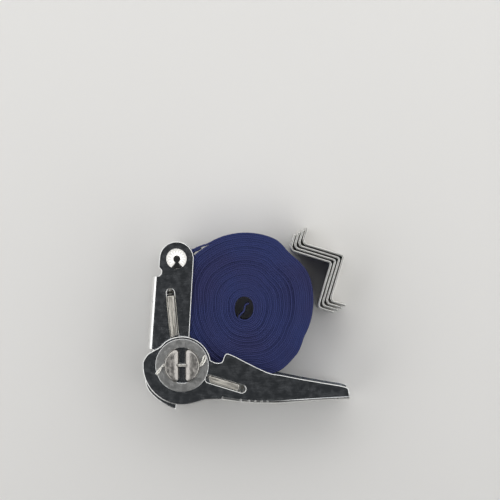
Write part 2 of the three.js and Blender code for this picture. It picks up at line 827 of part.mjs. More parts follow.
function bandRoll() {
  const end = leaveAngle() + 360 * coilLoops;
  const start = coilStartAngle;
  const step = 360 / stepsPerLoop;
  const steps = Math.floor((end - start) / step);
  const inner = coilHoleRadius + stripThickness / 2;
  const turns = [];
  for (let i = steps; i >= 0; i--) {
    const angle = end - i * step;
    const part = 1 - i / steps;
    const outer = (coilRadius - stripThickness / 2) * outlineShare(angle);
    turns.push(polar(lerp(inner, outer, part), angle).add(holeCentre.clone().lerp(coilCentre, part)));
  }
  const tailDirection = polar(1, tailAngle);
  const tailReach = coilHoleRadius * tailReachShare;
  const tail = tailShares.map((share) =>
    holeCentre.clone().addScaledVector(tailDirection, share * tailReach),
  );
  const entry = turns[0].clone().sub(turns[1]).normalize();
  const hook = turns[0].clone().addScaledVector(entry, coilHoleRadius / 2);
  const bend = new THREE.QuadraticBezierCurve(tail[tail.length - 1], hook, turns[0]);
  const bendPoints = bend.getPoints(tailBendSteps).slice(1, -1);
  const leave = leavePoint();
  const toRivet = clevis.clone().sub(leave);
  const leadLength = toRivet.length() - sewnLength - runningGap;
  const lead = leave.clone().addScaledVector(toRivet.normalize(), leadLength);
  const points = [...tail, ...bendPoints, ...turns, lead];
  console.log("least gap in the roll:", leastGap(points, stripThickness, stepsPerLoop / 2 + 2).toFixed(2));
  return strip(points, stripThickness, bandWidth / 2);
}

// Built along X from the rivet, then turned towards the point where the band leaves the roll.
function bandEndLoop() {
  const inner = rivetShankRadius + runningGap;
  const outer = inner + loopWall;
  const half = foldedThickness / 2;
  const open = Math.asin(half / outer);
  const outline = new THREE.Shape();
  outline.absarc(0, 0, outer, open, 2 * Math.PI - open, false);
  outline.lineTo(sewnLength, -half);
  outline.lineTo(sewnLength, half);
  const hole = new THREE.Path();
  hole.absarc(0, 0, inner, 0, 2 * Math.PI, true);
  outline.holes.push(hole);
  return slab(outline, -bandWidth / 2, bandWidth / 2, loopArcSegments);
}

// Corner brackets

// A bent strip's outline, with each inner corner of its middle line rounded by its own bend.
function bentStrip(corners, thickness, bends) {
  const middle = [corners[0]];
  for (let i = 1; i + 1 < corners.length; i++) {
    const bend = bends[i - 1];
    const before = corners[i - 1].clone().sub(corners[i]).setLength(bend).add(corners[i]);
    const after = corners[i + 1].clone().sub(corners[i]).setLength(bend).add(corners[i]);
    const centre = before.clone().add(after).sub(corners[i]);
    const from = before.clone().sub(centre);
    const to = after.clone().sub(centre);
    for (let k = 0; k <= bendSteps; k++) {
      const turn = (Math.PI / 2) * (k / bendSteps);
      const place = from.clone().multiplyScalar(Math.cos(turn)).addScaledVector(to, Math.sin(turn));
      middle.push(place.add(centre));
    }
  }
  middle.push(corners[corners.length - 1]);
  const left = [];
  const right = [];
  middle.forEach((point, i) => {
    const before = middle[Math.max(i - 1, 0)];
    const after = middle[Math.min(i + 1, middle.length - 1)];
    const along = after.clone().sub(before).normalize();
    const side = new THREE.Vector2(-along.y, along.x).multiplyScalar(thickness / 2);
    left.push(point.clone().add(side));
    right.push(point.clone().sub(side));
  });
  return new THREE.Shape([...left, ...right.reverse()]);
}

function cornerBracket() {
  const corners = [
    new THREE.Vector2(-bracketLeg, bracketLip),
    new THREE.Vector2(-bracketLeg, 0),
    new THREE.Vector2(0, 0),
    new THREE.Vector2(0, -bracketLongLeg),
    new THREE.Vector2(bracketLip, -bracketLongLeg),
  ];
  const bends = [bracketLipBend, bracketBend, bracketLipBend];
  const outline = bentStrip(corners, bracketSheet, bends);
  const slotHalf = bandWidth / 2 + bandSlotSideRoom;
  const slotLow = bracketLipBend + bandSlotLift;
  const slotHigh = slotLow + bandSlotHeight;
  const middle = bracketWidth / 2;
  const slots = [
    block(
      new THREE.Vector3(-bracketLeg - bracketSheet, slotLow, middle - slotHalf),
      new THREE.Vector3(-bracketLeg + bracketSheet, slotHigh, middle + slotHalf),
    ),
    block(
      new THREE.Vector3(slotLow, -bracketLongLeg - bracketSheet, middle - slotHalf),
      new THREE.Vector3(slotHigh, -bracketLongLeg + bracketSheet, middle + slotHalf),
    ),
  ];
  let solid = solidFrom(slab(outline, 0, bracketWidth));
  for (const slot of slots) solid = solid.subtract(solidFrom(slot));
  return geometryFrom(solid);
}

// The first bracket's upper leg ends a set distance outside the roll.
function firstBracketPlace() {
  const clear = coilRadius * dentShare + coilToBracket;
  const slant = radians(bracketBearing - bracketTurn);
  const across = bracketLeg * Math.sin(slant);
  const distance = bracketLeg * Math.cos(slant) + Math.sqrt(clear ** 2 - across ** 2);
  return polar(distance, bracketBearing).add(coilCentre);
}

// Assembly

function named(name, geometry, material) {
  const made = new THREE.Mesh(geometry, material);
  made.name = name;
  return made;
}

function drumGroup() {
  const drum = new THREE.Group();
  drum.add(named("mandrel_half_left", mandrelHalf(-1), brightSteel));
  drum.add(named("mandrel_half_right", mandrelHalf(1), brightSteel));
  for (const [side, name] of [
    [1, "upper"],
    [-1, "lower"],
  ]) {
    const wheel = named("ratchet_wheel_" + name, ratchetWheel(), steel);
    wheel.position.z = side > 0 ? wheelInner : -wheelOuter;
    const disc = named("washer_" + name, washer(), washerSteel);
    disc.position.z = side > 0 ? washerInner : -washerOuter;
    const pin = named("cotter_pin_" + name, splitPin(), brightSteel);
    pin.position.z = side * pinLevel;
    drum.add(wheel, disc, pin);
  }
  return drum;
}

function pawlGroup(name, pawl, halfWidth) {
  const group = new THREE.Group();
  group.rotation.z = radians(pawl.angle);
  group.add(named(name, pawlPlate(pawl, halfWidth), brightSteel));
  group.add(named(name + "_spring", pawlSpring(pawl), brightSteel));
  return group;
}

function bandGroup() {
  const band = new THREE.Group();
  const loop = named("band_end_loop", bandEndLoop(), webbing);
  const towards = leavePoint().sub(clevis);
  loop.position.set(clevisX, clevisY, 0);
  loop.rotation.z = Math.atan2(towards.y, towards.x);
  band.add(named("band_coil", bandRoll(), webbing), loop);
  return band;
}

function bracketGroup() {
  const set = new THREE.Group();
  const first = firstBracketPlace();
  set.position.set(first.x, first.y, -mandrelEnd);
  set.rotation.z = radians(bracketTurn);
  for (let i = 0; i < bracketCount; i++) {
    const bracket = named("corner_bracket_" + (i + 1), cornerBracket(), zincSteel);
    bracket.position.set(i * bracketNest, i * bracketNest, 0);
    set.add(bracket);
  }
  return set;
}

const assembly = new THREE.Group();
const rivet = named("anchor_rivet", anchorRivet(), brightSteel);
rivet.position.set(clevisX, clevisY, 0);
assembly.add(named("frame", frame(), steel), named("handle", handle(), steel), rivet);
assembly.add(drumGroup(), bandGroup(), bracketGroup());
assembly.add(pawlGroup("frame_pawl", framePawl, wheelOuter));
assembly.add(pawlGroup("handle_pawl", handlePawl, handleOuter));

// The origin is the middle of the clamp's underside, where it lies on the drum's lower end.
const clamp = new THREE.Group();
clamp.add(assembly);
clamp.updateMatrixWorld(true);
const extent = new THREE.Box3().setFromObject(assembly, true);
const middle = extent.getCenter(new THREE.Vector3());
assembly.position.set(-middle.x, -middle.y, -extent.min.z);
console.log("drum axis at", assembly.position.toArray().map((v) => v.toFixed(3)).join(", "));

export default clamp;
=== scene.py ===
"""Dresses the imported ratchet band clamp: finished pieces, materials, floor, lights and camera."""

import json
import math

import bmesh
import bpy
import numpy as np
from bpy.props import FloatProperty, FloatVectorProperty, IntProperty, PointerProperty
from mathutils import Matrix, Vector


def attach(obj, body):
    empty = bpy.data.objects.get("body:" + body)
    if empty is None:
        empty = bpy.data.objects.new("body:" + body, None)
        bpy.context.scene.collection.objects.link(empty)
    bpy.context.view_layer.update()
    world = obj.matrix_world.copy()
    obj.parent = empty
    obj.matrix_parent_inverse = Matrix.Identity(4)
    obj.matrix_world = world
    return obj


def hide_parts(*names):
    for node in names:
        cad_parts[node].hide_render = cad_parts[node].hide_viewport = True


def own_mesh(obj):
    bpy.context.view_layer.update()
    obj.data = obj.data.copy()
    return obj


bl_info = {
    "name": "Ratchet Band Clamp",
    "version": (1, 0, 0),
    "blender": (4, 5, 0),
    "location": "3D View > Sidebar > Clamp",
    "description": "Finished pieces and materials for the packed ratchet band clamp",
    "category": "Add Mesh",
}

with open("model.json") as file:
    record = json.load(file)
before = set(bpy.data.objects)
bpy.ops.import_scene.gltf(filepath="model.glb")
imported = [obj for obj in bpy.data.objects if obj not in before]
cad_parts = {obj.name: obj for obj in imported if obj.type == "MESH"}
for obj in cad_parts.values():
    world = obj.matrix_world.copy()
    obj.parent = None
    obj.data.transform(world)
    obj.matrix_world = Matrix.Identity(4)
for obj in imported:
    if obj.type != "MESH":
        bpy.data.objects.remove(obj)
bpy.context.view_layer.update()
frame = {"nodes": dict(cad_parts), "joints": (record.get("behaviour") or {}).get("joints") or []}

MM = 0.001
# What is shorter than this, in metres or millimetres, has no length.
TINY = 1e-9
JOINTS = {joint["name"]: joint for joint in frame["joints"]}
DRUM = Vector(JOINTS["drum_spin"]["pos_m"])

# Places around the drum's axis, in millimetres, as the solids have them.
RIVET = Vector((-3.3, 60.7))
ROLL_RADIUS = 41.4
DRUM_TO_ROLL = 12.3
RIVET_TO_ROLL = 6.266
DRUM_SIDE_SHARE = 0.91
HOLE_SHIFT_SHARES = (-0.02, -0.05)
HOLE_RADIUS = 5.7
# An angle around the roll, and the share of its radius that the outer turn reaches there.
ROLL_OUTLINE_SHARES = (
    (0, 0.937),
    (28, 0.97),
    (50, 0.937),
    (66, 1),
    (120, 1),
    (137, 1.012),
    (152, 0.98),
    (180, 0.877),
    (200, 0.884),
    (223, DRUM_SIDE_SHARE),
    (245, 0.966),
    (270, 0.993),
    (297, 1.034),
    (316, 0.988),
    (332, 0.924),
    (354, 0.933),
)
ROLL_START_ANGLE = 250

RUNNING_GAP = 0.3

# Heights along the drum from the middle of the band, in millimetres.
FRAME_OUTER = 14.9
HANDLE_OUTER = 19.1
WASHER_INNER = HANDLE_OUTER + RUNNING_GAP
PIN_LEVEL = 21.25
DRUM_END = 23.0
BRACKET_TOP = 8.0

# Distances from the drum's axis, and the notch behind a pawl's tip, in millimetres.
DRUM_RADIUS = 9.8
PAWL_TIP = 16.5
PAWL_NOTCH = 3.0
# How far each pawl reaches past its tip, and how far it lies beside the drum's axis.
PAWL_PLACES = {"frame_pawl": (23.4, 2.8), "handle_pawl": (18.1, -2.9)}

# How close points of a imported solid, and of its rounded mesh, lie when they count as one.
SOLID_MERGE = 0.002 * MM
ROUNDED_MERGE = 0.004 * MM
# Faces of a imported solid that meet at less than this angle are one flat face.
FLAT_ANGLE = math.radians(0.5)
# Edges sharper than this, in degrees, are rounded, and are drawn as edges.
SHARP_ANGLE = 35
# How near to a rim's height both ends of its edges lie, and the faces across its round.
RIM_REACH = 0.02 * MM
RIM_SEGMENTS = 4


# Settings


class ClampSteel(bpy.types.PropertyGroup):
    plate_edge: FloatProperty(
        name="Plate edge",
        description="Width of the rounded rim on the pressed frame and handle",
        default=0.55 * MM,
        min=0.0,
        unit="LENGTH",
    )
    fine_edge: FloatProperty(
        name="Fine edge",
        description="Width of the rounded edge on the small turned and punched pieces",
        default=0.16 * MM,
        min=0.0,
        unit="LENGTH",
    )
    bracket_edge: FloatProperty(
        name="Bracket edge",
        description="Width of the rounded edge along the corner brackets",
        default=0.35 * MM,
        min=0.0,
        unit="LENGTH",
    )
    spring_wire: FloatProperty(
        name="Spring wire",
        description="Diameter of the wire of the pawl springs",
        default=0.8 * MM,
        unit="LENGTH",
    )
    pin_wire: FloatProperty(
        name="Split pin wire",
        description="Diameter of the wire of the split pins",
        default=0.8 * MM,
        unit="LENGTH",
    )
    plate_color: FloatVectorProperty(
        name="Plated steel",
        description="Colour of the frame, the handle and the toothed wheels",
        default=(0.68, 0.71, 0.745),
        subtype="COLOR",
    )
    bright_color: FloatVectorProperty(
        name="Bright steel",
        description="Colour of the domed rivet",
        default=(0.78, 0.765, 0.73),
        subtype="COLOR",
    )
    wire_color: FloatVectorProperty(
        name="Wire",
        description="Colour of the springs and the split pins",
        default=(0.92, 0.9, 0.84),
        subtype="COLOR",
    )
    bar_color: FloatVectorProperty(
        name="Bar steel",
        description="Colour of the drum's two bars",
        default=(0.53, 0.507, 0.476),
        subtype="COLOR",
    )
    pawl_color: FloatVectorProperty(
        name="Pawl steel",
        description="Colour of the two pawls",
        default=(0.97, 0.93, 0.84),
        subtype="COLOR",
    )
    washer_color: FloatVectorProperty(
        name="Washer steel",
        description="Colour of the two washers",
        default=(0.73, 0.73, 0.715),
        subtype="COLOR",
    )
    bracket_color: FloatVectorProperty(
        name="Bracket zinc",
        description="Colour of the corner brackets",
        default=(0.76, 0.75, 0.71),
        subtype="COLOR",
    )


class ClampBand(bpy.types.PropertyGroup):
    width: FloatProperty(
        name="Width",
        description="Width of the webbing",
        default=25.4 * MM,
        unit="LENGTH",
    )
    length: FloatProperty(
        name="Length",
        description="Length of the webbing laid flat, from its free end to its sewn end",
        default=4.57,
        unit="LENGTH",
    )
    turns: IntProperty(
        name="Turns",
        description="Whole turns that the outer end has gone round the roll's centre",
        default=32,
        min=4,
    )
    fullness: FloatProperty(
        name="Fullness",
        description="Share of the space between two turns that the webbing fills",
        default=1.0,
        min=0.5,
        max=1.0,
    )
    yarn_color: FloatVectorProperty(
        name="Yarn",
        description="Colour of the webbing's raised yarns",
        default=(0.028, 0.037, 0.138),
        subtype="COLOR",
    )
    worn_shares: FloatVectorProperty(
        name="Worn shares",
        description="Shares of the yarn's red, green and blue where the dye has worn",
        default=(0.96, 0.82, 0.84),
    )
    fresh_shares: FloatVectorProperty(
        name="Fresh shares",
        description="Shares of the yarn's red, green and blue where the dye is fresh",
        default=(0.88, 1.12, 1.18),
    )
    # Painted shade: the webbing between its yarns is drawn darker, as the weave's hollows lie in
    # shade.
    shade_color: FloatVectorProperty(
        name="Between yarns",
        description="Colour of the webbing between its yarns",
        default=(0.012, 0.014, 0.055),
        subtype="COLOR",
    )


class ClampStage(bpy.types.PropertyGroup):
    floor_color: FloatVectorProperty(
        name="Floor",
        description="Colour of the plain floor",
        default=(0.74, 0.73, 0.71),
        subtype="COLOR",
    )
    light_level: FloatProperty(
        name="Light level",
        description="Brightness of each soft box, where 1 is white",
        default=1.12,
        min=0.0,
    )
    room_color: FloatVectorProperty(
        name="Room",
        description="Colour of the room around the soft boxes",
        default=(0.9, 0.95, 1.0),
        subtype="COLOR",
    )
    room_level: FloatProperty(
        name="Room level",
        description="Brightness of the room around the soft boxes, where 1 is white",
        default=0.03,
        min=0.0,
    )
    lens: FloatProperty(
        name="Lens",
        description="Focal length of the camera",
        default=200.0,
        unit="CAMERA",
    )


# Places


def row(x, y, level=0.0):
    """A place given in millimetres from the middle of the drum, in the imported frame."""
    return DRUM + Vector((x, y, level)) * MM


def polar(radius, angle):
    turn = math.radians(angle)
    return Vector((radius * math.cos(turn), radius * math.sin(turn)))


def smooth_route(points, steps):
    """A centripetal curve through the points, with this many steps from each to the next."""
    knots = [Vector(p).to_3d() for p in points]
    knots = [2 * knots[0] - knots[1], *knots, 2 * knots[-1] - knots[-2]]
    made = []
    for i in range(1, len(knots) - 2):
        near = knots[i - 1 : i + 3]
        times = [0.0]
        for a, b in zip(near, near[1:]):
            times.append(times[-1] + max((b - a).length, TINY) ** 0.5)
        for k in range(steps):
            now = times[1] + (times[2] - times[1]) * k / steps
            pairs = [
                near[j].lerp(near[j + 1], (now - times[j]) / (times[j + 1] - times[j]))
                for j in range(3)
            ]
            halves = [
                pairs[j].lerp(pairs[j + 1], (now - times[j]) / (times[j + 2] - times[j]))
                for j in range(2)
            ]
            made.append(halves[0].lerp(halves[1], (now - times[1]) / (times[2] - times[1])))
    made.append(knots[-2])
    return made


def joint_direction(name):
    """The direction in which a joint slides, seen from above."""
    return Vector(JOINTS[name]["axis"]).to_2d().normalized()


# Meshes


def closed_mesh(name, verts, faces):
    """A mesh whose faces all look outward."""
    mesh = bpy.data.meshes.new(name)
    mesh.from_pydata([tuple(v) for v in verts], [], faces)
    mesh.validate()
    bm = bmesh.new()
    bm.from_mesh(mesh)
    bmesh.ops.recalc_face_normals(bm, faces=bm.faces)
    bm.to_mesh(mesh)
    bm.free()
    return mesh


def between_rings(rings, sides):
    """The faces that join each ring of vertices to the next one."""
    faces = []
    for i in range(rings - 1):
        for j in range(sides):
            a, b = i * sides + j, i * sides + (j + 1) % sides
            faces.append((a, b, b + sides, a + sides))
    return faces


def tube(points, radius, sides, cap_rings=3):
    """Vertices and faces of a round wire along the points, with domed ends."""
    normal = (points[1] - points[0]).normalized().orthogonal().normalized()
    rings = []
    for i, point in enumerate(points):
        along = (points[min(i + 1, len(points) - 1)] - points[max(i - 1, 0)]).normalized()
        normal = (normal - along * normal.dot(along)).normalized()
        rings.append((point, along, normal, radius))
    start_point, start_along, start_normal, _ = rings[0]
    end_point, end_along, end_normal, _ = rings[-1]
    before, after = [], []
    for k in range(1, cap_rings):
        turn = math.pi / 2 * k / cap_rings
        shift, size = radius * math.sin(turn), radius * math.cos(turn)
        before.append((start_point - start_along * shift, start_along, start_normal, size))
        after.append((end_point + end_along * shift, end_along, end_normal, size))
    rings = before[::-1] + rings + after
    verts = []
    for point, along, normal, size in rings:
        side = along.cross(normal)
        for j in range(sides):
            turn = 2 * math.pi * j / sides
            verts.append(point + normal * size * math.cos(turn) + side * size * math.sin(turn))
    faces = between_rings(len(rings), sides)
    tip, last = len(verts), len(verts) - sides
    verts += [start_point - start_along * radius, end_point + end_along * radius]
    for j in range(sides):
        faces.append((tip, (j + 1) % sides, j))
        faces.append((tip + 1, last + j, last + (j + 1) % sides))
    return verts, faces


def lathe(profile, segments):
    """Vertices and faces of a closed profile of (radius, level) turned about the Z axis."""
    verts, faces, starts = [], [], []
    for radius, level in profile:
        tip = radius < TINY
        starts.append((len(verts), tip))
        for j in range(1 if tip else segments):
            turn = 2 * math.pi * j / segments
            verts.append(Vector((radius * math.cos(turn), radius * math.sin(turn), level)))
    pairs = list(zip(starts, starts[1:]))
    if not (starts[0][1] and starts[-1][1]):
        pairs.append((starts[-1], starts[0]))
    for (a, a_tip), (b, b_tip) in pairs:
        for j in range(segments):
            n = (j + 1) % segments
            if a_tip:
                faces.append((a, b + n, b + j))
            elif b_tip:
                faces.append((a + j, a + n, b))
            else:
                faces.append((a + j, a + n, b + n, b + j))
    return verts, faces


def joined(shapes):
    """Vertices and faces of several shapes as those of one."""
    verts, faces = [], []
    for more, sides in shapes:
        start = len(verts)
        verts += more
        faces += [tuple(start + i for i in face) for face in sides]
    return verts, faces


def mark_worn_and_highlit(mesh, low, high):
    """Gives 1 in the attribute that marks rubbed and highlit edges to faces whose normal has a height
    between low and high, upward or downward, and leaves the other faces as they are. Faces with 1 are
    painted brighter, partly as rubbed wear and partly as a painted highlight."""
    worn = mesh.attributes.get("worn_edge")
    if worn is None:
        worn = mesh.attributes.new("worn_edge", "FLOAT", "FACE")
    for polygon in mesh.polygons:
        if low < abs(polygon.normal.z) < high:
            worn.data[polygon.index].value = 1.0


def cut_out(mesh, cutter):
    """The mesh with another closed mesh cut out of it."""
    solid = bpy.data.objects.new("solid", mesh)
    tool = bpy.data.objects.new("tool", cutter)
    for each in (solid, tool):
        bpy.context.scene.collection.objects.link(each)
    cut = solid.modifiers.new("Cut", "BOOLEAN")
    cut.operation = "DIFFERENCE"
    cut.solver = "EXACT"
    cut.object = tool
    graph = bpy.context.evaluated_depsgraph_get()
    made = bpy.data.meshes.new_from_object(solid.evaluated_get(graph), depsgraph=graph)
    for each in (solid, tool):
        bpy.data.objects.remove(each)
    return made


def round_off(bm, edges, width, segments, worn):
    """Rounds the edges, and marks the new faces in the layer worn, so that they are painted brighter,
    partly as rubbed wear and partly as a painted highlight.
    """
    made = bmesh.ops.bevel(
        bm,
        geom=edges,
        offset=width,
        offset_type="OFFSET",
        segments=segments,
        profile=0.5,
        affect="EDGES",
        clamp_overlap=False,
        miter_outer="ARC",
    )
    for face in made["faces"]:
        face[worn] = 1.0


def rounded_solid(node, edge, rims=(), rim_edge=0.0, segments=2):
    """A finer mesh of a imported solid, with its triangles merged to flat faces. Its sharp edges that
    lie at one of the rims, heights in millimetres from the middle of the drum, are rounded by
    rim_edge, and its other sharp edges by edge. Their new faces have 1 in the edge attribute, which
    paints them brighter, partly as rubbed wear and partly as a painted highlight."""
    if node not in frame["nodes"]:
        raise RuntimeError(f"the packed model has no node {node}")
    bm = bmesh.new()
    bm.from_mesh(frame["nodes"][node].data)
    bmesh.ops.remove_doubles(bm, verts=bm.verts, dist=SOLID_MERGE)
    bmesh.ops.dissolve_limit(bm, angle_limit=FLAT_ANGLE, verts=bm.verts, edges=bm.edges)
    worn = bm.faces.layers.float.new("worn_edge")
    levels = [DRUM.z + rim * MM for rim in rims]

    def keen(e):
        return e.is_manifold and e.calc_face_angle(0.0) > math.radians(SHARP_ANGLE)

    def at_rim(e):
        return any(all(abs(v.co.z - level) < RIM_REACH for v in e.verts) for level in levels)

    rim = [e for e in bm.edges if keen(e) and at_rim(e)]
    if rim:
        round_off(bm, rim, rim_edge, RIM_SEGMENTS, worn)
    rest = [e for e in bm.edges if keen(e) and not any(f[worn] for f in e.link_faces)]
    if rest:
        round_off(bm, rest, edge, segments, worn)
    bmesh.ops.remove_doubles(bm, verts=bm.verts, dist=ROUNDED_MERGE)
    bmesh.ops.recalc_face_normals(bm, faces=bm.faces)
    mesh = bpy.data.meshes.new(node + "_finished")
    bm.to_mesh(mesh)
    bm.free()
    return mesh


def add_piece(name, mesh, body, material, replaced=(), smooth_angle=None):
    """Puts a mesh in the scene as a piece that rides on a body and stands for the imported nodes. A
    round piece gives the angle up to which it is smooth. Without it, flat faces stay flat."""
    if len(mesh.polygons) == 0:
        raise RuntimeError(f"{name} has no faces")
    piece = bpy.data.objects.new(name, mesh)
    bpy.context.scene.collection.objects.link(piece)
    mesh.materials.append(material)
    mesh.shade_smooth()
    mesh.set_sharp_from_angle(angle=math.radians(smooth_angle or SHARP_ANGLE))
    if smooth_angle is None:
        normals = piece.modifiers.new("Flat faces stay flat", "WEIGHTED_NORMAL")
        normals.keep_sharp = True
    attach(piece, body)
    if replaced:
        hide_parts(*replaced)
    return piece


# Effects shared by several materials


class Wiring:
    """Short calls for placing and linking the nodes of one tree."""

    def __init__(self, tree):
        self.tree = tree

    def feed(self, socket, source):
        """Links another node's output to the socket, or sets a plain value on it."""
        if isinstance(source, bpy.types.NodeSocket):
            self.tree.links.new(source, socket)
        else:
            socket.default_value = source

    def node(self, kind, inputs=None, **settings):
        made = self.tree.nodes.new(kind)
        for key, value in settings.items():
            setattr(made, key, value)
        for key, source in (inputs or {}).items():
            self.feed(made.inputs[key], source)
        return made

    def math(self, operation, *sources, clamp=False):
        inputs = dict(enumerate(sources))
        return self.node("ShaderNodeMath", inputs, operation=operation, use_clamp=clamp).outputs[0]

    def mix_color(self, share, first, second):
        inputs = {0: share, 6: first, 7: second}
        return self.node("ShaderNodeMix", inputs, data_type="RGBA").outputs[2]

    def mix_value(self, share, first, second):
        return self.node("ShaderNodeMix", {0: share, 2: first, 3: second}).outputs[0]

    def noise(self, vector, scale, detail, roughness):
        inputs = {"Vector": vector, "Scale": scale, "Detail": detail, "Roughness": roughness}
        return self.node("ShaderNodeTexNoise", inputs).outputs["Fac"]

    def stretched(self, value, low, high, least=0.0, most=1.0, curve="LINEAR"):
        """The value with the range from low to high spread from least to most."""
        return self.node(
            "ShaderNodeMapRange",
            {"Value": value, "From Min": low, "From Max": high, "To Min": least, "To Max": most},
            interpolation_type=curve,
        ).outputs[0]

    def shares(self, vector, each):
        """The vector with its parts multiplied by those of another one."""
        inputs = {0: vector, 1: each}
        return self.node("ShaderNodeVectorMath", inputs, operation="MULTIPLY").outputs[0]


def new_group(name, inputs, outputs):
    """The wiring and the inputs of a new node group, which is given each input with its value."""
    group = bpy.data.node_groups.new(name, "ShaderNodeTree")
    kinds = {1: "NodeSocketFloat", 3: "NodeSocketVector", 4: "NodeSocketColor"}
    for label, value in inputs.items():
        kind = kinds[len(value) if isinstance(value, tuple) else 1]
        socket = group.interface.new_socket(name=label, in_out="INPUT", socket_type=kind)
        socket.default_value = value
    for label in outputs:
        kind = kinds[4 if label == "Color" else 1]
        group.interface.new_socket(name=label, in_out="OUTPUT", socket_type=kind)
    w = Wiring(group)
    return w, w.node("NodeGroupInput").outputs


def shared(name, build):
    """The node group of this name, which is built where it isn't there yet."""
    return bpy.data.node_groups.get(name) or build()


def plating_group():
    """Blotches and fine speckle of a thin plated finish."""
    speckle_scale, speckle_share = 2600.0, 0.35
    speckle_relief, blotch_relief = 0.4, 0.6
    w, given = new_group(
        "Plated Finish",
        {
            "Vector": (0.0, 0.0, 0.0),
            "Color": (0.5, 0.5, 0.5, 1.0),
            "Tarnish": (0.3, 0.3, 0.3, 1.0),
            "Blotch Scale": 180.0,
            "Blotch Amount": 0.5,
            "Clean Roughness": 0.22,
            "Tarnished Roughness": 0.36,
        },
        ("Color", "Roughness", "Height"),
    )
    blotch = w.noise(given["Vector"], given["Blotch Scale"], detail=4.0, roughness=0.6)
    blotch = w.stretched(blotch, 0.36, 0.64, curve="SMOOTHSTEP")
    speckle = w.noise(given["Vector"], speckle_scale, detail=2.0, roughness=0.5)
    share = w.math("MULTIPLY", blotch, given["Blotch Amount"])
    fleck = w.math("MULTIPLY", w.math("SUBTRACT", speckle, 0.5), speckle_share)
    share = w.math("ADD", share, fleck, clamp=True)
    color = w.mix_color(share, given["Color"], given["Tarnish"])
    rough = w.mix_value(share, given["Clean Roughness"], given["Tarnished Roughness"])
    speckle = w.math("MULTIPLY", speckle, speckle_relief)
    height = w.math("ADD", speckle, w.math("MULTIPLY", blotch, blotch_relief))
    w.node("NodeGroupOutput", {"Color": color, "Roughness": rough, "Height": height})
    return w.tree


def edge_group():
    """Edges painted bright, unevenly, where Edge is 1: partly rubbed wear, partly a painted
    highlight.
    """
    patch_scale, least_rubbed = 420.0, 0.75
    w, given = new_group(
        "Rubbed Edges",
        {
            "Vector": (0.0, 0.0, 0.0),
            "Edge": 0.0,
            "Color": (0.5, 0.5, 0.5, 1.0),
            "Bright Color": (0.85, 0.85, 0.83, 1.0),
            "Roughness": 0.3,
            "Bright Roughness": 0.2,
            "Amount": 0.8,
        },
        ("Color", "Roughness"),
    )
    patch = w.noise(given["Vector"], patch_scale, detail=3.0, roughness=0.6)
    patch = w.stretched(patch, 0.3, 0.55, least_rubbed)
    share = w.math("MULTIPLY", given["Edge"], patch)
    share = w.math("MULTIPLY", share, given["Amount"], clamp=True)
    color = w.mix_color(share, given["Color"], given["Bright Color"])
    rough = w.mix_value(share, given["Roughness"], given["Bright Roughness"])
    w.node("NodeGroupOutput", {"Color": color, "Roughness": rough})
    return w.tree


def grain_group():
    """Fine drawn lines, stretched along one direction."""
    w, given = new_group(
        "Drawn Grain",
        {
            "Vector": (0.0, 0.0, 0.0),
            "Stretch": (1.0, 1.0, 1.0),
            "Scale": 2200.0,
            "Roughness": 0.3,
            "Spread": 0.12,
        },
        ("Roughness", "Height"),
    )
    drawn = w.shares(given["Vector"], given["Stretch"])
    lines = w.noise(drawn, given["Scale"], detail=3.0, roughness=0.65)
    # The lines go from 0 to 1, so the shift goes up to the spread, both ways.
    shift = w.math("MULTIPLY", w.math("SUBTRACT", lines, 0.5), given["Spread"])
    rough = w.math("ADD", given["Roughness"], w.math("MULTIPLY", shift, 2.0))
    w.node("NodeGroupOutput", {"Roughness": rough, "Height": lines})
    return w.tree


def weave_group():
    """Close woven webbing: warp yarns along the band and picks across it, from a place in metres. The
    low places between yarns are painted darker, as painted shade.
    """
    yarn_fullness, pick_fullness, pick_depth = 0.6, 0.7, 0.45
    gap_rough, yarn_rough = 0.95, 0.78
    # Patches of fading dye in each metre: along the band, and across it.
    fade_along, fade_across = 60.0, 900.0
    w, given = new_group(
        "Woven Webbing",
        {
            "Vector": (0.0, 0.0, 0.0),
            "Yarn Color": (0.03, 0.04, 0.13, 1.0),
            "Gap Color": (0.01, 0.01, 0.05, 1.0),
            "Yarn Pitch": 0.0009,
            "Pick Pitch": 0.0013,
            "Fade": 0.3,
        },
        ("Color", "Roughness", "Height"),
    )
    parts = w.node("ShaderNodeSeparateXYZ", {0: given["Vector"]}).outputs
    across = w.math("DIVIDE", parts["Y"], given["Yarn Pitch"])
    along = w.math("DIVIDE", parts["X"], given["Pick Pitch"])
    # The picks of each yarn lie half a pick further than those of the yarn beside it.
    along = w.math("ADD", along, w.math("MULTIPLY", w.math("FLOOR", across), 0.5))
    yarn = w.math("ABSOLUTE", w.math("SINE", w.math("MULTIPLY", across, math.pi)))
    pick = w.math("ABSOLUTE", w.math("SINE", w.math("MULTIPLY", along, math.pi)))
    yarn = w.math("POWER", yarn, yarn_fullness)
    pick = w.math("MULTIPLY", w.math("POWER", pick, pick_fullness), pick_depth)
    height = w.math("MULTIPLY", yarn, w.math("ADD", pick, 1 - pick_depth))
    fade = w.shares(given["Vector"], (fade_along, fade_across, fade_along))
    fade = w.noise(fade, 1.0, detail=3.0, roughness=0.6)
    fade = w.math("MULTIPLY", w.math("SUBTRACT", fade, 0.5), given["Fade"])
    share = w.math("ADD", height, fade, clamp=True)
    # The hollows between yarns take the gap colour, as painted shade.
    color = w.mix_color(share, given["Gap Color"], given["Yarn Color"])
    rough = w.mix_value(share, gap_rough, yarn_rough)
    w.node("NodeGroupOutput", {"Color": color, "Roughness": rough, "Height": height})
    return w.tree
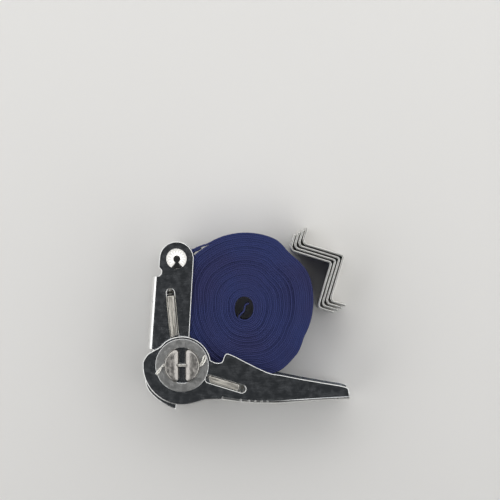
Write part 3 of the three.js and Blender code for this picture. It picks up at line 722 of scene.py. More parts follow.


# Materials

# Each steel with the setting that holds its colour, the colour of its edges painted brighter, partly
# as rubbed wear and partly as a painted highlight, and its finish.
STEELS = {
    "Plated Sheet Steel": dict(
        color="plate_color",
        bright=(0.86, 0.86, 0.84),
        blotch_scale=265.0,
        blotch_amount=1.0,
        clean_rough=0.155,
        tarnished_rough=0.23,
        tarnish=0.89,
        edge_amount=0.95,
        edge_rough=0.3,
        grain=(0.12, 1.0, 1.0),
        grain_spread=0.08,
    ),
    "Polished Steel": dict(
        color="bright_color",
        bright=(0.92, 0.92, 0.9),
        blotch_scale=420.0,
        blotch_amount=0.3,
        clean_rough=0.1,
        tarnished_rough=0.22,
        tarnish=0.75,
        grain_spread=0.05,
        relief=0.004,
    ),
    "Cut Bar Steel": dict(
        color="bar_color",
        bright=(0.76, 0.74, 0.7),
        blotch_scale=520.0,
        blotch_amount=0.95,
        clean_rough=0.49,
        tarnished_rough=0.35,
        tarnish=0.74,
        edge_amount=0.6,
        edge_rough=0.42,
        grain=(1.0, 0.1, 1.0),
        grain_spread=0.25,
        relief=0.03,
    ),
    "Sheared Steel": dict(
        color="pawl_color",
        bright=(0.98, 0.95, 0.88),
        blotch_scale=760.0,
        blotch_amount=1.0,
        clean_rough=0.44,
        tarnished_rough=0.62,
        tarnish=0.2,
        edge_amount=1.0,
        edge_rough=0.4,
        grain_spread=0.2,
        relief=0.05,
    ),
    "Drawn Steel Wire": dict(
        color="wire_color",
        bright=(0.95, 0.94, 0.9),
        blotch_scale=700.0,
        blotch_amount=0.4,
        clean_rough=0.28,
        tarnished_rough=0.4,
        tarnish=0.75,
        grain_spread=0.1,
        relief=0.004,
    ),
    "Satin Washer Steel": dict(
        color="washer_color",
        bright=(0.85, 0.85, 0.83),
        blotch_scale=300.0,
        blotch_amount=0.85,
        clean_rough=0.31,
        tarnished_rough=0.45,
        tarnish=0.66,
        edge_amount=1.0,
        edge_rough=0.3,
        grain_spread=0.12,
        relief=0.012,
    ),
    "Bright Zinc Plate": dict(
        color="bracket_color",
        bright=(0.82, 0.815, 0.785),
        blotch_scale=350.0,
        blotch_amount=0.4,
        clean_rough=0.2,
        tarnished_rough=0.3,
        tarnish=0.65,
        edge_amount=1.0,
        edge_rough=0.36,
        grain=(1.0, 1.0, 0.1),
        grain_spread=0.12,
    ),
}
# How many times longer than wide the streaks of sheared steel are.
STREAK_LENGTH = 12


def opaque(color, shares=(1.0, 1.0, 1.0)):
    """A colour with its red, green and blue each multiplied by a share."""
    return (*[c * share for c, share in zip(color, shares)], 1.0)


def scaled(color, share):
    return opaque(color, [share] * 3)


def bare_material(name):
    """An emptied material with its output and one Principled shader."""
    material = bpy.data.materials.new(name)
    material.use_nodes = True
    tree = material.node_tree
    tree.nodes.clear()
    w = Wiring(tree)
    shader = w.node("ShaderNodeBsdfPrincipled")
    w.node("ShaderNodeOutputMaterial", {"Surface": shader.outputs[0]})
    return material, w, shader


def finish_shader(w, shader, color, rough, height, *, strength, relief):
    """Gives the shader its colour, its roughness and, from a height, a relief in millimetres."""
    bump = w.node(
        "ShaderNodeBump", {"Height": height, "Strength": strength, "Distance": relief * MM}
    )
    w.feed(shader.inputs["Base Color"], color)
    w.feed(shader.inputs["Roughness"], rough)
    w.feed(shader.inputs["Normal"], bump.outputs[0])


def steel_material(
    name,
    color,
    bright,
    blotch_scale,
    blotch_amount,
    clean_rough,
    tarnished_rough,
    tarnish,
    edge_amount=0.8,
    edge_rough=0.2,
    grain=(1.0, 1.0, 1.0),
    grain_spread=0.1,
    relief=0.01,
    drawn_along=None,
):
    """Plated or polished steel: blotched plating, a drawn grain, and edges painted brighter, partly
    as rubbed wear and partly as a painted highlight. The tarnished places have the share tarnish of
    its colour. With drawn_along, a direction seen from above, its blotches and its grain are streaks
    along that direction."""
    material, w, shader = bare_material(name)
    shader.inputs["Metallic"].default_value = 1.0
    color = getattr(bpy.context.scene.clamp_steel, color)
    where = w.node("ShaderNodeTexCoord").outputs["Object"]
    if drawn_along is not None:
        turn = math.atan2(drawn_along.y, drawn_along.x)
        where = w.node(
            "ShaderNodeMapping",
            {"Vector": where, "Rotation": (0, 0, turn), "Scale": (STREAK_LENGTH, 1, 1)},
            vector_type="TEXTURE",
        ).outputs[0]
    plating = w.node(
        "ShaderNodeGroup",
        {
            "Vector": where,
            "Color": opaque(color),
            "Tarnish": scaled(color, tarnish),
            "Blotch Scale": blotch_scale,
            "Blotch Amount": blotch_amount,
            "Clean Roughness": clean_rough,
            "Tarnished Roughness": tarnished_rough,
        },
        node_tree=shared("Plated Finish", plating_group),
    ).outputs
    drawn = w.node(
        "ShaderNodeGroup",
        {
            "Vector": where,
            "Roughness": plating["Roughness"],
            "Stretch": grain,
            "Spread": grain_spread,
        },
        node_tree=shared("Drawn Grain", grain_group),
    ).outputs
    # Faces marked in the edge attribute get a brighter colour: partly rubbed wear, partly a painted
    # highlight.
    rubbed_and_highlit = w.node(
        "ShaderNodeGroup",
        {
            "Vector": where,
            "Edge": w.node("ShaderNodeAttribute", attribute_name="worn_edge").outputs["Fac"],
            "Color": plating["Color"],
            "Roughness": drawn["Roughness"],
            "Bright Color": opaque(bright),
            "Bright Roughness": edge_rough,
            "Amount": edge_amount,
        },
        node_tree=shared("Rubbed Edges", edge_group),
    ).outputs
    height = w.math("ADD", plating["Height"], drawn["Height"])
    color, rough = rubbed_and_highlit["Color"], rubbed_and_highlit["Roughness"]
    finish_shader(w, shader, color, rough, height, strength=0.5, relief=relief)
    return material


def steel(kind, name=None, drawn_along=None):
    """The material of one of the steels, under its own name or another."""
    name = name or kind
    known = bpy.data.materials.get(name)
    return known or steel_material(name, drawn_along=drawn_along, **STEELS[kind])


def webbing():
    """Blue webbing in its weave, with dye that has worn in some places of the roll."""
    patch_scale = 28.0
    look = bpy.context.scene.clamp_band
    material, w, shader = bare_material("Blue Webbing")
    place = w.node("ShaderNodeTexCoord").outputs["Object"]
    patch = w.noise(place, patch_scale, detail=2.0, roughness=0.5)
    worn = opaque(look.yarn_color, look.worn_shares)
    fresh = opaque(look.yarn_color, look.fresh_shares)
    weave = w.node(
        "ShaderNodeGroup",
        {
            "Vector": w.node("ShaderNodeUVMap", uv_map="band").outputs[0],
            "Yarn Color": w.mix_color(w.stretched(patch, 0.35, 0.65), worn, fresh),
            "Gap Color": opaque(look.shade_color),
        },
        node_tree=shared("Woven Webbing", weave_group),
    ).outputs
    color, rough, height = weave["Color"], weave["Roughness"], weave["Height"]
    finish_shader(w, shader, color, rough, height, strength=0.8, relief=0.22)
    shader.inputs["Sheen Weight"].default_value = 0.25
    shader.inputs["Sheen Roughness"].default_value = 0.5
    shader.inputs["Sheen Tint"].default_value = (0.35, 0.4, 0.8, 1.0)
    shader.inputs["Specular IOR Level"].default_value = 0.3
    return material


def thread():
    """Twisted sewing thread, in the webbing's blue and a lighter one."""
    twist_scale, light_share = 5200.0, 2.2
    dark = opaque(bpy.context.scene.clamp_band.yarn_color)
    light = opaque([min(1.0, c * light_share) for c in dark])
    material, w, shader = bare_material("Sewing Thread")
    where = w.node("ShaderNodeTexCoord").outputs["Object"]
    twist = w.noise(where, twist_scale, detail=2.0, roughness=0.5)
    color, rough = w.mix_color(twist, dark, light), 0.7
    finish_shader(w, shader, color, rough, twist, strength=0.6, relief=0.05)
    return material


# Steel pieces


class CLAMP_OT_pressed_plates(bpy.types.Operator):
    """Finish the pressed steel frame and the pressed steel handle"""

    bl_idname = "clamp.pressed_plates"
    bl_label = "Frame and Handle"

    # The height of the normals of all faces painted brighter, which are those of the bends and the
    # rims: partly rubbed wear, partly a painted highlight on the bends.
    rubbed_and_highlit_heights = (0.1, 0.985)

    def execute(self, context):
        look = context.scene.clamp_steel
        for node, outer in (("frame", FRAME_OUTER), ("handle", HANDLE_OUTER)):
            mesh = rounded_solid(node, look.fine_edge, (outer, -outer), look.plate_edge)
            mark_worn_and_highlit(mesh, *self.rubbed_and_highlit_heights)
            plated = steel("Plated Sheet Steel")
            add_piece("pressed_" + node, mesh, node + "_body", plated, [node])
        return {"FINISHED"}


class CLAMP_OT_rivet(bpy.types.Operator):
    """Turn the dome-headed rivet that holds the band's sewn end"""

    bl_idname = "clamp.rivet"
    bl_label = "Anchor Rivet"

    head_radius: FloatProperty(
        name="Head radius",
        description="Radius of each domed head",
        default=5.8 * MM,
        unit="LENGTH",
    )
    head_height: FloatProperty(
        name="Head height",
        description="Height of each domed head",
        default=2.6 * MM,
        unit="LENGTH",
    )
    shank_radius: FloatProperty(
        name="Shank radius",
        description="Radius of the shank",
        default=3.0 * MM,
        unit="LENGTH",
    )

    def execute(self, context):
        dome_foot, under_rise, under_inset = 0.35 * MM, 0.2 * MM, 0.25 * MM
        dome_steps, segments = 18, 64
        seat = (FRAME_OUTER + RUNNING_GAP) * MM
        rise = self.head_height - dome_foot
        ball = (self.head_radius**2 + rise**2) / (2 * rise)
        spread = math.asin(self.head_radius / ball)
        half = [
            (self.shank_radius, seat),
            (self.head_radius - under_inset, seat),
            (self.head_radius, seat + under_rise),
        ]
        for i in range(dome_steps, -1, -1):
            turn = spread * i / dome_steps
            level = seat + self.head_height - ball * (1 - math.cos(turn))
            half.append((ball * math.sin(turn), level))
        profile = [(r, -level) for r, level in half[::-1]] + half
        verts, faces = lathe(profile, segments)
        mesh = closed_mesh("rivet", [v + row(*RIVET) for v in verts], faces)
        polished = steel("Polished Steel")
        add_piece(
            "domed_rivet",
            mesh,
            "frame_body",
            polished,
            ["anchor_rivet"],
            smooth_angle=SHARP_ANGLE,
        )
        return {"FINISHED"}


class CLAMP_OT_drum(bpy.types.Operator):
    """Form the two half-round bars of the slotted drum, with worn ends and a hole for each pin"""

    bl_idname = "clamp.drum"
    bl_label = "Drum Halves"

    slot: FloatProperty(
        name="Slot",
        description="Width of the slot between the bars",
        default=4.4 * MM,
        unit="LENGTH",
    )
    corner: FloatProperty(
        name="Corner",
        description="Radius of a bar's two upright edges",
        default=1.6 * MM,
        unit="LENGTH",
    )
    slot_wear: FloatProperty(
        name="Wear at the slot",
        description="Width of the worn round on a bar's end, along the slot",
        default=3.2 * MM,
        unit="LENGTH",
    )
    rim_wear: FloatProperty(
        name="Wear at the rim",
        description="Width of the worn round on a bar's end, along its outer edge",
        default=0.55 * MM,
        unit="LENGTH",
    )
    pin_hole: FloatProperty(
        name="Pin hole",
        description="Radius of the holes for the pins",
        default=1.25 * MM,
        unit="LENGTH",
    )

    corner_wear = 0.2 * MM
    # The worn end is a tight round from the bar's side up to the crest, and a wide one from there
    # to the flat end. Its faces have these leans, in degrees.
    tight_round = 0.3 * MM
    crest = 39
    leans = (90, 75, 60, 48, crest, 34, 29, 24, 19, 14, 9, 4, 0)
    # Faces of the worn end's tight round are painted brighter: partly rubbed wear, partly a painted
    # highlight along the slot.
    rubbed_and_highlit_heights = (0.05, 0.7)

    def outline(self, radius, flat, corner):
        """The section of the bar on the +X side, counter-clockwise."""
        arc_steps, corner_steps = 48, 8
        reach = flat + corner
        rise = math.sqrt((radius - corner) ** 2 - reach**2)
        turn = math.degrees(math.atan2(rise, reach))
        bend = (180 - turn) / corner_steps
        upper, lower = Vector((reach, rise)), Vector((reach, -rise))
        made = [polar(radius, -turn + 2 * turn * i / arc_steps) for i in range(arc_steps + 1)]
        made += [upper + polar(corner, turn + bend * i) for i in range(1, corner_steps + 1)]
        made += [lower + polar(corner, 180 + bend * i) for i in range(corner_steps)]
        return made

    def crown(self):
        """From a bar's side up onto its crowned end: shares of the wear, and the rise to there."""
        crest, tight = math.radians(self.crest), self.tight_round
        wide = (self.slot_wear - tight * (1 - math.sin(crest))) / math.sin(crest)
        made = []
        for degrees in self.leans:
            lean = math.radians(degrees)
            steep, gentle = max(lean, crest), min(lean, crest)
            inset = tight * (1 - math.sin(steep)) + wide * (math.sin(crest) - math.sin(gentle))
            rise = tight * math.cos(steep) + wide * (math.cos(gentle) - math.cos(crest))
            made.append((inset / self.slot_wear, rise))
        return made

    def bar(self, sign):
        """The bar on the side of the sign."""
        crown = self.crown()
        shoulder = DRUM_END * MM - crown[-1][1]
        upper = []
        for share, rise in crown:
            radius = DRUM_RADIUS * MM - self.rim_wear * share
            flat = self.slot / 2 + self.slot_wear * share
            corner = self.corner - self.corner_wear * share
            upper.append((shoulder + rise, self.outline(radius, flat, corner)))
        rings = [(-level, ring) for level, ring in upper[::-1]] + upper
        verts = []
        for level, ring in rings:
            verts += [DRUM + Vector((sign * p.x, sign * p.y, level)) for p in ring]
        count = len(upper[0][1])
        faces = between_rings(len(rings), count)
        faces.append(tuple(range(count))[::-1])
        faces.append(tuple(range(len(verts) - count, len(verts))))
        mesh = closed_mesh("bar", verts, faces)
        mark_worn_and_highlit(mesh, *self.rubbed_and_highlit_heights)
        past = DRUM_RADIUS + 3
        for level in (PIN_LEVEL, -PIN_LEVEL):
            ends = [row(x, 0, level) for x in (-past, 0, past)]
            mesh = cut_out(mesh, closed_mesh("hole", *tube(ends, self.pin_hole, sides=28)))
        return mesh

    def execute(self, context):
        for sign, side in ((-1, "left"), (1, "right")):
            add_piece(
                "drum_bar_" + side,
                self.bar(sign),
                "drum_body",
                steel("Cut Bar Steel"),
                ["mandrel_half_" + side],
            )
        return {"FINISHED"}


class CLAMP_OT_wheels(bpy.types.Operator):
    """Finish the two toothed wheels between the frame and the handle"""

    bl_idname = "clamp.wheels"
    bl_label = "Toothed Wheels"

    def execute(self, context):
        for side in ("upper", "lower"):
            node = "ratchet_wheel_" + side
            mesh = rounded_solid(node, context.scene.clamp_steel.fine_edge, segments=1)
            plated = steel("Plated Sheet Steel")
            add_piece("toothed_wheel_" + side, mesh, "drum_body", plated, [node])
        return {"FINISHED"}


class CLAMP_OT_washers(bpy.types.Operator):
    """Punch the two flat washers with one rounded edge and one crisp edge"""

    bl_idname = "clamp.washers"
    bl_label = "Washers"

    outer_radius: FloatProperty(
        name="Outer radius",
        description="Outer radius of a washer",
        default=15.1 * MM,
        unit="LENGTH",
    )
    hole_radius: FloatProperty(
        name="Hole radius",
        description="Radius of a washer's hole",
        default=10.1 * MM,
        unit="LENGTH",
    )
    thickness: FloatProperty(
        name="Thickness",
        description="Thickness of a washer",
        default=1.0 * MM,
        unit="LENGTH",
    )

    # The washers' rounded edges are painted brighter: partly rubbed wear, partly a painted highlight.
    rubbed_and_highlit_heights = (0.1, 0.96)

    def execute(self, context):
        soft, crisp = 0.3 * MM, 0.06 * MM
        arc_steps, segments = 4, 128
        low, high = WASHER_INNER * MM, WASHER_INNER * MM + self.thickness
        profile = []
        for radius, turn in ((self.outer_radius, 1), (self.hole_radius, -1)):
            arc = [(radius - turn * crisp, low), (radius, low + crisp)]
            for i in range(arc_steps + 1):
                angle = math.pi / 2 * i / arc_steps
                inset = turn * soft * (1 - math.cos(angle))
                arc.append((radius - inset, high - soft + soft * math.sin(angle)))
            profile += arc if turn > 0 else arc[::-1]
        for sign, side in ((1, "upper"), (-1, "lower")):
            verts, faces = lathe([(r, sign * level) for r, level in profile], segments)
            mesh = closed_mesh("washer", [v + DRUM for v in verts], faces)
            mark_worn_and_highlit(mesh, *self.rubbed_and_highlit_heights)
            satin, node = steel("Satin Washer Steel"), "washer_" + side
            add_piece("flat_washer_" + side, mesh, "drum_body", satin, [node])
        return {"FINISHED"}


class CLAMP_OT_split_pins(bpy.types.Operator):
    """Bend the two split pins, each from one folded wire"""

    bl_idname = "clamp.split_pins"
    bl_label = "Split Pins"

    # Where the wire goes round the eye: shares of its length, and of half its width.
    eye_shares = (
        (0.3, 0.85),
        (0.7, 1.0),
        (0.93, 0.7),
        (1.0, 0.0),
        (0.93, -0.7),
        (0.7, -0.9),
        (0.35, -0.45),
    )

    def route(self):
        """The wire's middle line in millimetres from the drum's axis."""
        half, out = 0.41, DRUM_RADIUS + 0.75
        eye_length, eye_half, eye_angle = 6.0, 0.78, 66
        tail_length, tail_angle = 6.0, 235
        eye, tail = polar(1, eye_angle), polar(1, tail_angle)
        eye_side, tail_side = Vector((eye.y, -eye.x)), Vector((tail.y, -tail.x))
        eye_root, tail_root = Vector((out + half, 0)), Vector((-out - half, 0))
        tail_end = tail_root + tail * tail_length
        tail_middle = tail_root + tail * tail_length / 2
        points = [tail_end + tail_side * half, tail_middle + tail_side * half]
        points += [Vector((x, -half)) for x in (-out + half, -out / 2, 0, out / 2, out)]
        points += [
            eye_root + eye * along * eye_length + eye_side * side * eye_half
            for along, side in self.eye_shares
        ]
        points += [Vector((x, half)) for x in (out - half, out / 2, 0, -out / 2, -out)]
        return points + [tail_middle - tail_side * half, tail_end - tail_side * half]

    def execute(self, context):
        radius = context.scene.clamp_steel.pin_wire / 2
        route = smooth_route(self.route(), steps=6)
        for level, side in ((PIN_LEVEL, "upper"), (-PIN_LEVEL, "lower")):
            points = [row(p.x, p.y, level) for p in route]
            add_piece(
                "split_pin_" + side,
                closed_mesh("split_pin", *tube(points, radius, sides=14)),
                "drum_body",
                steel("Drawn Steel Wire"),
                ["cotter_pin_" + side],
                smooth_angle=60,
            )
        return {"FINISHED"}


class CLAMP_OT_pawls(bpy.types.Operator):
    """Finish the sliding pawl of the frame and the sliding pawl of the handle"""

    bl_idname = "clamp.pawls"
    bl_label = "Pawls"

    def execute(self, context):
        for holder in ("frame", "handle"):
            node = holder + "_pawl"
            name = f"Sheared Steel of the {holder.capitalize()} Pawl"
            sheared = steel("Sheared Steel", name, joint_direction(node + "_slide"))
            mesh = rounded_solid(node, context.scene.clamp_steel.fine_edge)
            add_piece("sliding_" + node, mesh, node + "_body", sheared, [node])
        return {"FINISHED"}


class CLAMP_OT_springs(bpy.types.Operator):
    """Wind the two pawl springs at their length at rest; they do not shorten here when their pawls
    slide back
    """

    bl_idname = "clamp.springs"
    bl_label = "Pawl Springs"

    curls: IntProperty(name="Curls", description="Turns of each spring", default=6, min=2)

    def coil(self, start, length, radius, thick):
        """The wire's middle line in millimetres, as (reach along the spring, across it, up)."""
        steps_per_curl = 24
        # The share of the wire at each end that lies flat, as closed ends do.
        flat_share = 0.12
        steps = steps_per_curl * self.curls
        for i in range(steps + 1):
            share = i / steps
            rise = min(1.0, max(0.0, (share - flat_share) / (1 - 2 * flat_share)))
            turn = 2 * math.pi * self.curls * share
            reach = start + thick / 2 + rise * (length - thick)
            yield reach, radius * math.cos(turn), radius * math.sin(turn)

    def execute(self, context):
        wire = context.scene.clamp_steel.spring_wire
        radius, length, keep = 3.1, 10.3, 0.72
        for node, (reach_out, offset) in PAWL_PLACES.items():
            along = joint_direction(node + "_slide")
            side = Vector((-along.y, along.x))
            start = PAWL_TIP + reach_out - PAWL_NOTCH + RUNNING_GAP
            points = []
            for reach, across, up in self.coil(start, length, radius, wire / MM):
                place = along * reach + side * (offset + across)
                points.append(row(place.x, place.y, up))
            spring = add_piece(
                "coiled_" + node + "_spring",
                closed_mesh(node + "_spring", *tube(points, wire / 2, sides=10)),
                node.replace("pawl", "body"),
                steel("Drawn Steel Wire"),
                [node + "_spring"],
                smooth_angle=60,
            )
            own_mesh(spring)
        return {"FINISHED"}


class CLAMP_OT_corner_brackets(bpy.types.Operator):
    """Finish the four nested corner brackets"""

    bl_idname = "clamp.corner_brackets"
    bl_label = "Corner Brackets"

    # Their level faces are painted brighter as their edges are: partly rubbed wear, partly a painted
    # highlight.
    rubbed_and_highlit_heights = (0.96, 1.01)

    def execute(self, context):
        look = context.scene.clamp_steel
        for i in range(1, 5):
            node, body = f"corner_bracket_{i}", f"bracket_{i}_body"
            ends = (-DRUM_END, BRACKET_TOP)
            mesh = rounded_solid(node, look.fine_edge, ends, look.bracket_edge)
            mark_worn_and_highlit(mesh, *self.rubbed_and_highlit_heights)
            zinc = steel("Bright Zinc Plate")
            add_piece(f"bent_bracket_{i}", mesh, body, zinc, [node])
        return {"FINISHED"}


# Band


def roll_centre():
    """The roll's middle, from its distances to the drum and to the rivet, in millimetres."""
    from_drum = DRUM_TO_ROLL + ROLL_RADIUS * DRUM_SIDE_SHARE
    from_rivet = ROLL_RADIUS + RIVET_TO_ROLL
    apart = RIVET.length
    along = (apart**2 + from_drum**2 - from_rivet**2) / (2 * apart)
    across = math.sqrt(from_drum**2 - along**2)
    unit = RIVET.normalized()
    return Vector((unit.y, -unit.x)) * across + unit * along


def outline_share(angle):
    """The outer turn's reach at an angle, on a closed line eased through the rows."""
    turn = angle % 360
    first_angle, first_share = ROLL_OUTLINE_SHARES[0]
    rows = [*ROLL_OUTLINE_SHARES, (first_angle + 360, first_share)]
    for (start, low), (end, high) in zip(rows, rows[1:]):
        if start <= turn < end:
            break
    t = (turn - start) / (end - start)
    straight = low + (high - low) * t
    eased = low + (high - low) * (t * t * (3 - 2 * t))
    return 0.5 * (straight + eased)


class CLAMP_OT_band(bpy.types.Operator):
    """Wind the whole band into its roll, and lead it to the rivet, round it and back"""

    bl_idname = "clamp.band"
    bl_label = "Webbing Band"

    steps_per_turn: IntProperty(
        name="Steps per turn",
        description="Points of the band in one turn",
        default=90,
        min=24,
    )
    sewn_length: FloatProperty(
        name="Sewn length",
        description="Length that is sewn double, in millimetres",
        default=15.0,
    )
    wrap_radius: FloatProperty(
        name="Wrap radius",
        description="Middle of the band where it goes round the rivet, in millimetres",
        default=3.8,
    )

    # All lengths here are in millimetres, and all angles in degrees.
    free_thickness = 0.93
    # From a turn's middle to the roll's outline, and to the edge of its hole.
    outer_inset = 0.45
    inner_inset = 0.4
    hole_oval = 0.13
    # The free end crosses the hole in a shallow bow.
    tail_angle = 228
    tail_reach = 3.88
    tail_bow = 0.9
    tail_shares = (-1.0, -0.75, -0.5, -0.2, 0.1, 0.4)
    # Waves that lift and lower the turns: height, radians in each metre of band, and start.
    drift_waves = (
        (0.2, 20.3, 1.3),
        (0.13, 49.7, 0.4),
        (0.06, 171.0, 0.0),
    )

    def roll_points(self, turns):
        """The tail across the hole and all the turns, up to where the band leaves the roll."""
        entry_steps, bend_steps = 4, 8
        centre = roll_centre()
        hole = centre + Vector(HOLE_SHIFT_SHARES) * ROLL_RADIUS
        away = RIVET - centre
        leave = math.degrees(math.atan2(away.y, away.x)) - math.degrees(
            math.acos(ROLL_RADIUS / away.length)
        )
        end = leave + 360 * turns
        steps = int((end - ROLL_START_ANGLE) / 360 * self.steps_per_turn)
        spiral = []
        for i in range(steps + 1):
            share = i / steps
            angle = ROLL_START_ANGLE + (end - ROLL_START_ANGLE) * share
            outer = (ROLL_RADIUS - self.outer_inset) * outline_share(angle)
            oval = 1 - self.hole_oval * math.cos(2 * math.radians(angle))
            inner = HOLE_RADIUS * oval + self.inner_inset
            reach = inner + (outer - inner) * share
            spiral.append(polar(reach, angle) + hole.lerp(centre, share))
        ahead = polar(self.tail_reach, self.tail_angle)
        beside = polar(self.tail_bow, self.tail_angle + 90)
        tail = [hole + ahead * s + beside * math.sin(math.pi * s) for s in self.tail_shares]
        entry = (spiral[0] - spiral[entry_steps]).normalized()
        hook = spiral[0] + entry * HOLE_RADIUS / 2
        bend = []
        for k in range(1, bend_steps):
            t = k / bend_steps
            bend.append(tail[-1] * (1 - t) ** 2 + hook * 2 * t * (1 - t) + spiral[0] * t * t)
        tail = [p.to_2d() for p in smooth_route(tail, steps=4)][:-1]
        return tail + bend + spiral, len(tail) + len(bend)

    def lead_points(self, leave):
        """From the roll to the rivet, once round it, and back along the sewn part."""
        # Half the distance between the middles of the two sewn layers.
        layer = 0.52
        # How far from the rivet the layers begin to part, and have parted by how much each.
        parting, parted, parted_side = 6.6, 5.2, 1.0
        before_sewn, before_side = 3.0, 0.1
        lead_share, sewn_share = 0.75, 0.7
        wrap_angles = range(35, 326, 18)
        sewn = self.sewn_length
        out = leave - RIVET
        reach = out.length
        out.normalize()
        side = Vector((-out.y, out.x))
        rough = [(reach * lead_share, 0.0), (sewn + before_sewn, before_side), (sewn, layer)]
        rough += [(sewn * sewn_share, layer), (parting, layer), (parted, parted_side)]
        rough += [polar(self.wrap_radius, angle) for angle in wrap_angles]
        rough += [(parted, -parted_side), (parting, -layer), (sewn * sewn_share, -layer)]
        rough.append((sewn, -layer))
        points = [leave] + [RIVET + out * x + side * y for x, y in rough]
        return [p.to_2d() for p in smooth_route(points, steps=5)][1:], out, side

    def section(self, half_thick, half_width):
        """One cross-section with rounded selvedges, as (across the thickness, along the width)."""
        round_steps, round_share = 5, 0.45
        rise = round_share * half_thick
        made = []
        for sign in (1, -1):
            for k in range(round_steps + 1):
                turn = math.pi / 2 * (1 - 2 * k / round_steps)
                along = half_width - rise + rise * math.cos(turn)
                made.append((sign * half_thick * math.sin(turn), sign * along))
            for share in (0.5, 0.0, -0.5):
                made.append((-sign * half_thick, sign * share * half_width))
        return made

    def thicknesses(self, flat, first, last, fullness):
        """How thick each point of the band is: in the roll, it fills the space between turns."""
        per = self.steps_per_turn
        thick = np.full(len(flat), self.free_thickness)
        for i in range(first, last):
            near = [
                np.linalg.norm(flat[i] - flat[j])
                for j in (i - per, i + per)
                if first <= j < last
            ]
            thick[i] = fullness * min(near)
        return thick

    def drift(self, run, steps_after_roll):
        """How far the band stands above the middle of its roll, and soon no more after the roll."""
        fading_steps = 12
        waves = sum(high * math.sin(run * rate + start) for high, rate, start in self.drift_waves)
        return waves * min(1.0, max(0.0, 1 - steps_after_roll / fading_steps))

    def execute(self, context):
        look = context.scene.clamp_band
        roll, tail_count = self.roll_points(look.turns)
        lead, out, side = self.lead_points(roll[-1])
        flat = np.array([(p.x, p.y) for p in roll + lead])
        count = len(flat)
        thick = self.thicknesses(flat, tail_count, len(roll), look.fullness)
        steps = np.linalg.norm(np.diff(flat, axis=0), axis=1)
        run = np.concatenate([[0.0], np.cumsum(steps)]) * MM
        verts, uvs = [], []
        for i in range(count):
            ahead = flat[min(i + 1, count - 1)] - flat[max(i - 1, 0)]
            ahead /= np.linalg.norm(ahead)
            left = np.array([-ahead[1], ahead[0]])
            drift = self.drift(run[i], i - len(roll))
            travel, before = 0.0, None
            for a, z in self.section(thick[i] / 2, look.width / MM / 2):
                verts.append(row(*(flat[i] + left * a), z + drift))
                if before is not None:
                    travel += math.hypot(a - before[0], z - before[1]) * MM
                before = (a, z)
                uvs.append((run[i], travel))
        ring = len(verts) // count
        faces = []
        for i in range(count - 1):
            for j in range(ring):
                a, b = i * ring + j, i * ring + (j + 1) % ring
                faces.append((a, a + ring, b + ring, b))
        faces.append(tuple(range(ring)))
        faces.append(tuple(range((count - 1) * ring, count * ring))[::-1])
        mesh = closed_mesh("band", verts, faces)
        self.unroll(mesh, uvs, ring)
        band = add_piece(
            "webbing_band",
            mesh,
            "frame_body",
            webbing(),
            ["band_coil", "band_end_loop"],
            smooth_angle=70,
        )
        self.seam(out, side)
        return {"FINISHED"}

    def unroll(self, mesh, uvs, ring):
        """Gives the mesh its place on the flat band, in metres: along it, and round its section."""
        last_side = 0.5 * MM
        layer = mesh.uv_layers.new(name="band")
        perimeter = uvs[ring - 1][1] + last_side
        for polygon in mesh.polygons:
            wraps = {v % ring for v in polygon.vertices} == {0, ring - 1}
            for loop in polygon.loop_indices:
                v = mesh.loops[loop].vertex_index
                along, round_section = uvs[v]
                closing = wraps and v % ring == 0
                layer.data[loop].uv = (along, perimeter if closing else round_section)

    def seam(self, out, side):
        """Rows of thread across the sewn part, on both of its faces."""
        stitch, gap, thick, count = 2.1, 0.7, 0.3, 8
        face_level, sink, slant = 1.12, 0.3, 0.5
        shapes = []
        for face in (1, -1):
            for inset in (2.0, 4.6, 7.2):
                for k in range(count):
                    middle = (k - (count - 1) / 2) * (stitch + gap)
                    points = []
                    for t in (-0.5, -0.42, -0.25, 0.0, 0.25, 0.42, 0.5):
                        reach = self.sewn_length - inset + slant * t
                        level = face_level - sink * (2 * abs(t)) ** 4
                        place = RIVET + out * reach + side * face * level
                        points.append(row(place.x, place.y, middle + t * stitch))
                    shapes.append(tube(points, thick * MM / 2, sides=8, cap_rings=2))
        mesh = closed_mesh("seam", *joined(shapes))
        return add_piece("seam_thread", mesh, "frame_body", thread(), smooth_angle=70)


# Stage


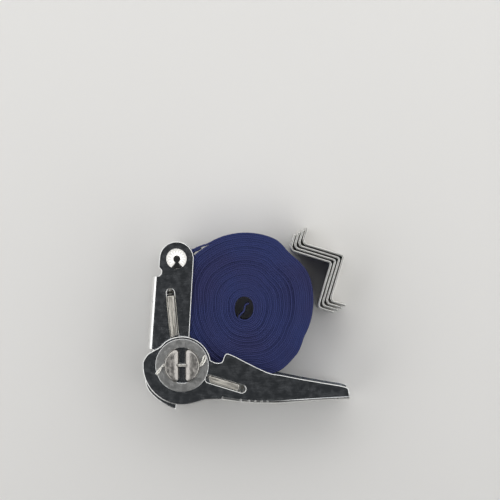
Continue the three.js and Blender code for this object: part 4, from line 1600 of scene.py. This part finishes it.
class CLAMP_OT_stage(bpy.types.Operator):
    """Lay the plain floor, and set up the soft boxes, the world and the camera"""

    bl_idname = "clamp.stage"
    bl_label = "Floor, Lights and Camera"

    view_width: FloatProperty(
        name="View width",
        description="Width that the camera sees at the height of the plates",
        default=285.5 * MM,
        unit="LENGTH",
    )
    box_count: IntProperty(
        name="Soft boxes",
        description="Soft boxes in the ring, which is open on the near side",
        default=14,
        min=1,
    )
    box_overlap: FloatProperty(
        name="Soft box overlap",
        description="Width of each soft box, as a share of its part of the ring at its middle",
        default=1.2,
        min=0.1,
    )
    box_span: FloatProperty(
        name="Ring span",
        description="Angle that the ring of soft boxes spans, in degrees",
        default=292.0,
    )
    box_rise: FloatProperty(
        name="Soft box rise",
        description="Angle of the soft boxes above the floor, in degrees",
        default=35.0,
    )
    box_distance: FloatProperty(
        name="Soft box distance",
        description="How far the soft boxes stand",
        default=0.75,
        unit="LENGTH",
    )
    box_height: FloatProperty(
        name="Soft box height",
        description="Height of each soft box",
        default=0.8,
        unit="LENGTH",
    )

    floor_size = 14.0
    # The place that the camera looks at, in millimetres from the drum's axis.
    view_middle = (38.7, 65.7)

    def floor(self, look):
        grain_scale, dark_share = 900.0, 0.985
        bpy.ops.mesh.primitive_plane_add(size=self.floor_size, location=(0, 0, 0))
        floor = bpy.context.object
        floor.name = "studio_floor"
        material, w, shader = bare_material("Pale Floor")
        where = w.node("ShaderNodeTexCoord").outputs["Object"]
        grain = w.noise(where, grain_scale, detail=2.0, roughness=0.5)
        dark, light = scaled(look.floor_color, dark_share), opaque(look.floor_color)
        color = w.mix_color(grain, dark, light)
        w.feed(shader.inputs["Base Color"], color)
        shader.inputs["Roughness"].default_value = 0.85
        floor.data.materials.append(material)

    def soft_boxes(self, level):
        """A ring of soft boxes side by side that face the clamp, each as bright as the level."""
        rise, step = math.radians(self.box_rise), self.box_span / self.box_count
        reach, lift = self.box_distance * math.cos(rise), self.box_distance * math.sin(rise)
        width = self.box_overlap * 2 * reach * math.tan(math.radians(step / 2))
        for i in range(self.box_count):
            name = f"soft_box_{i + 1}"
            lamp = bpy.data.lights.new(name, "AREA")
            lamp.shape = "RECTANGLE"
            lamp.size, lamp.size_y = width, self.box_height
            lamp.energy = math.pi * width * self.box_height * level
            box = bpy.data.objects.new(name, lamp)
            box.location = (*polar(reach, 90 + (i - (self.box_count - 1) / 2) * step), lift)
            box.rotation_euler = (-box.location).to_track_quat("-Z", "Y").to_euler()
            box.visible_camera = False
            bpy.context.scene.collection.objects.link(box)

    def camera(self, look):
        camera = bpy.data.cameras.new("camera")
        camera.lens = look.lens
        camera.sensor_width = 36.0
        camera.clip_start, camera.clip_end = 0.05, 20.0
        distance = self.view_width * look.lens / camera.sensor_width
        eye = bpy.data.objects.new("camera", camera)
        eye.location = (*row(*self.view_middle).xy, DRUM.z + FRAME_OUTER * MM + distance)
        bpy.context.scene.collection.objects.link(eye)
        return eye

    def execute(self, context):
        scene = context.scene
        look = scene.clamp_stage
        self.floor(look)
        self.soft_boxes(look.light_level)
        scene.world = bpy.data.worlds.new("Dim Room")
        scene.world.use_nodes = True
        room = scene.world.node_tree.nodes["Background"].inputs
        room["Color"].default_value = opaque(look.room_color)
        room["Strength"].default_value = look.room_level
        scene.camera = self.camera(look)
        scene.view_settings.view_transform = "Standard"
        return {"FINISHED"}


# Panel and registration

OPERATORS = (
    CLAMP_OT_pressed_plates,
    CLAMP_OT_rivet,
    CLAMP_OT_drum,
    CLAMP_OT_wheels,
    CLAMP_OT_washers,
    CLAMP_OT_split_pins,
    CLAMP_OT_pawls,
    CLAMP_OT_springs,
    CLAMP_OT_corner_brackets,
    CLAMP_OT_band,
    CLAMP_OT_stage,
)


class CLAMP_PT_pieces(bpy.types.Panel):
    """Lists the clamp's settings and the pieces that can be made"""

    bl_label = "Ratchet Band Clamp"
    bl_space_type = "VIEW_3D"
    bl_region_type = "UI"
    bl_category = "Clamp"

    def draw(self, context):
        for title, settings in (
            ("Steel", context.scene.clamp_steel),
            ("Band", context.scene.clamp_band),
            ("Stage", context.scene.clamp_stage),
        ):
            box = self.layout.box()
            box.label(text=title)
            for key in type(settings).__annotations__:
                box.prop(settings, key)
        for operator in OPERATORS:
            self.layout.operator(operator.bl_idname)


SETTINGS = {
    "clamp_steel": ClampSteel,
    "clamp_band": ClampBand,
    "clamp_stage": ClampStage,
}


def register():
    for key, group in SETTINGS.items():
        bpy.utils.register_class(group)
        setattr(bpy.types.Scene, key, PointerProperty(type=group))
    for made in (*OPERATORS, CLAMP_PT_pieces):
        bpy.utils.register_class(made)


def unregister():
    for made in (CLAMP_PT_pieces, *OPERATORS[::-1]):
        bpy.utils.unregister_class(made)
    for key, group in SETTINGS.items():
        delattr(bpy.types.Scene, key)
        bpy.utils.unregister_class(group)


def main():
    register()
    for operator in OPERATORS:
        family, call = operator.bl_idname.split(".")
        getattr(getattr(bpy.ops, family), call)()


if __name__ == "__main__":
    main()
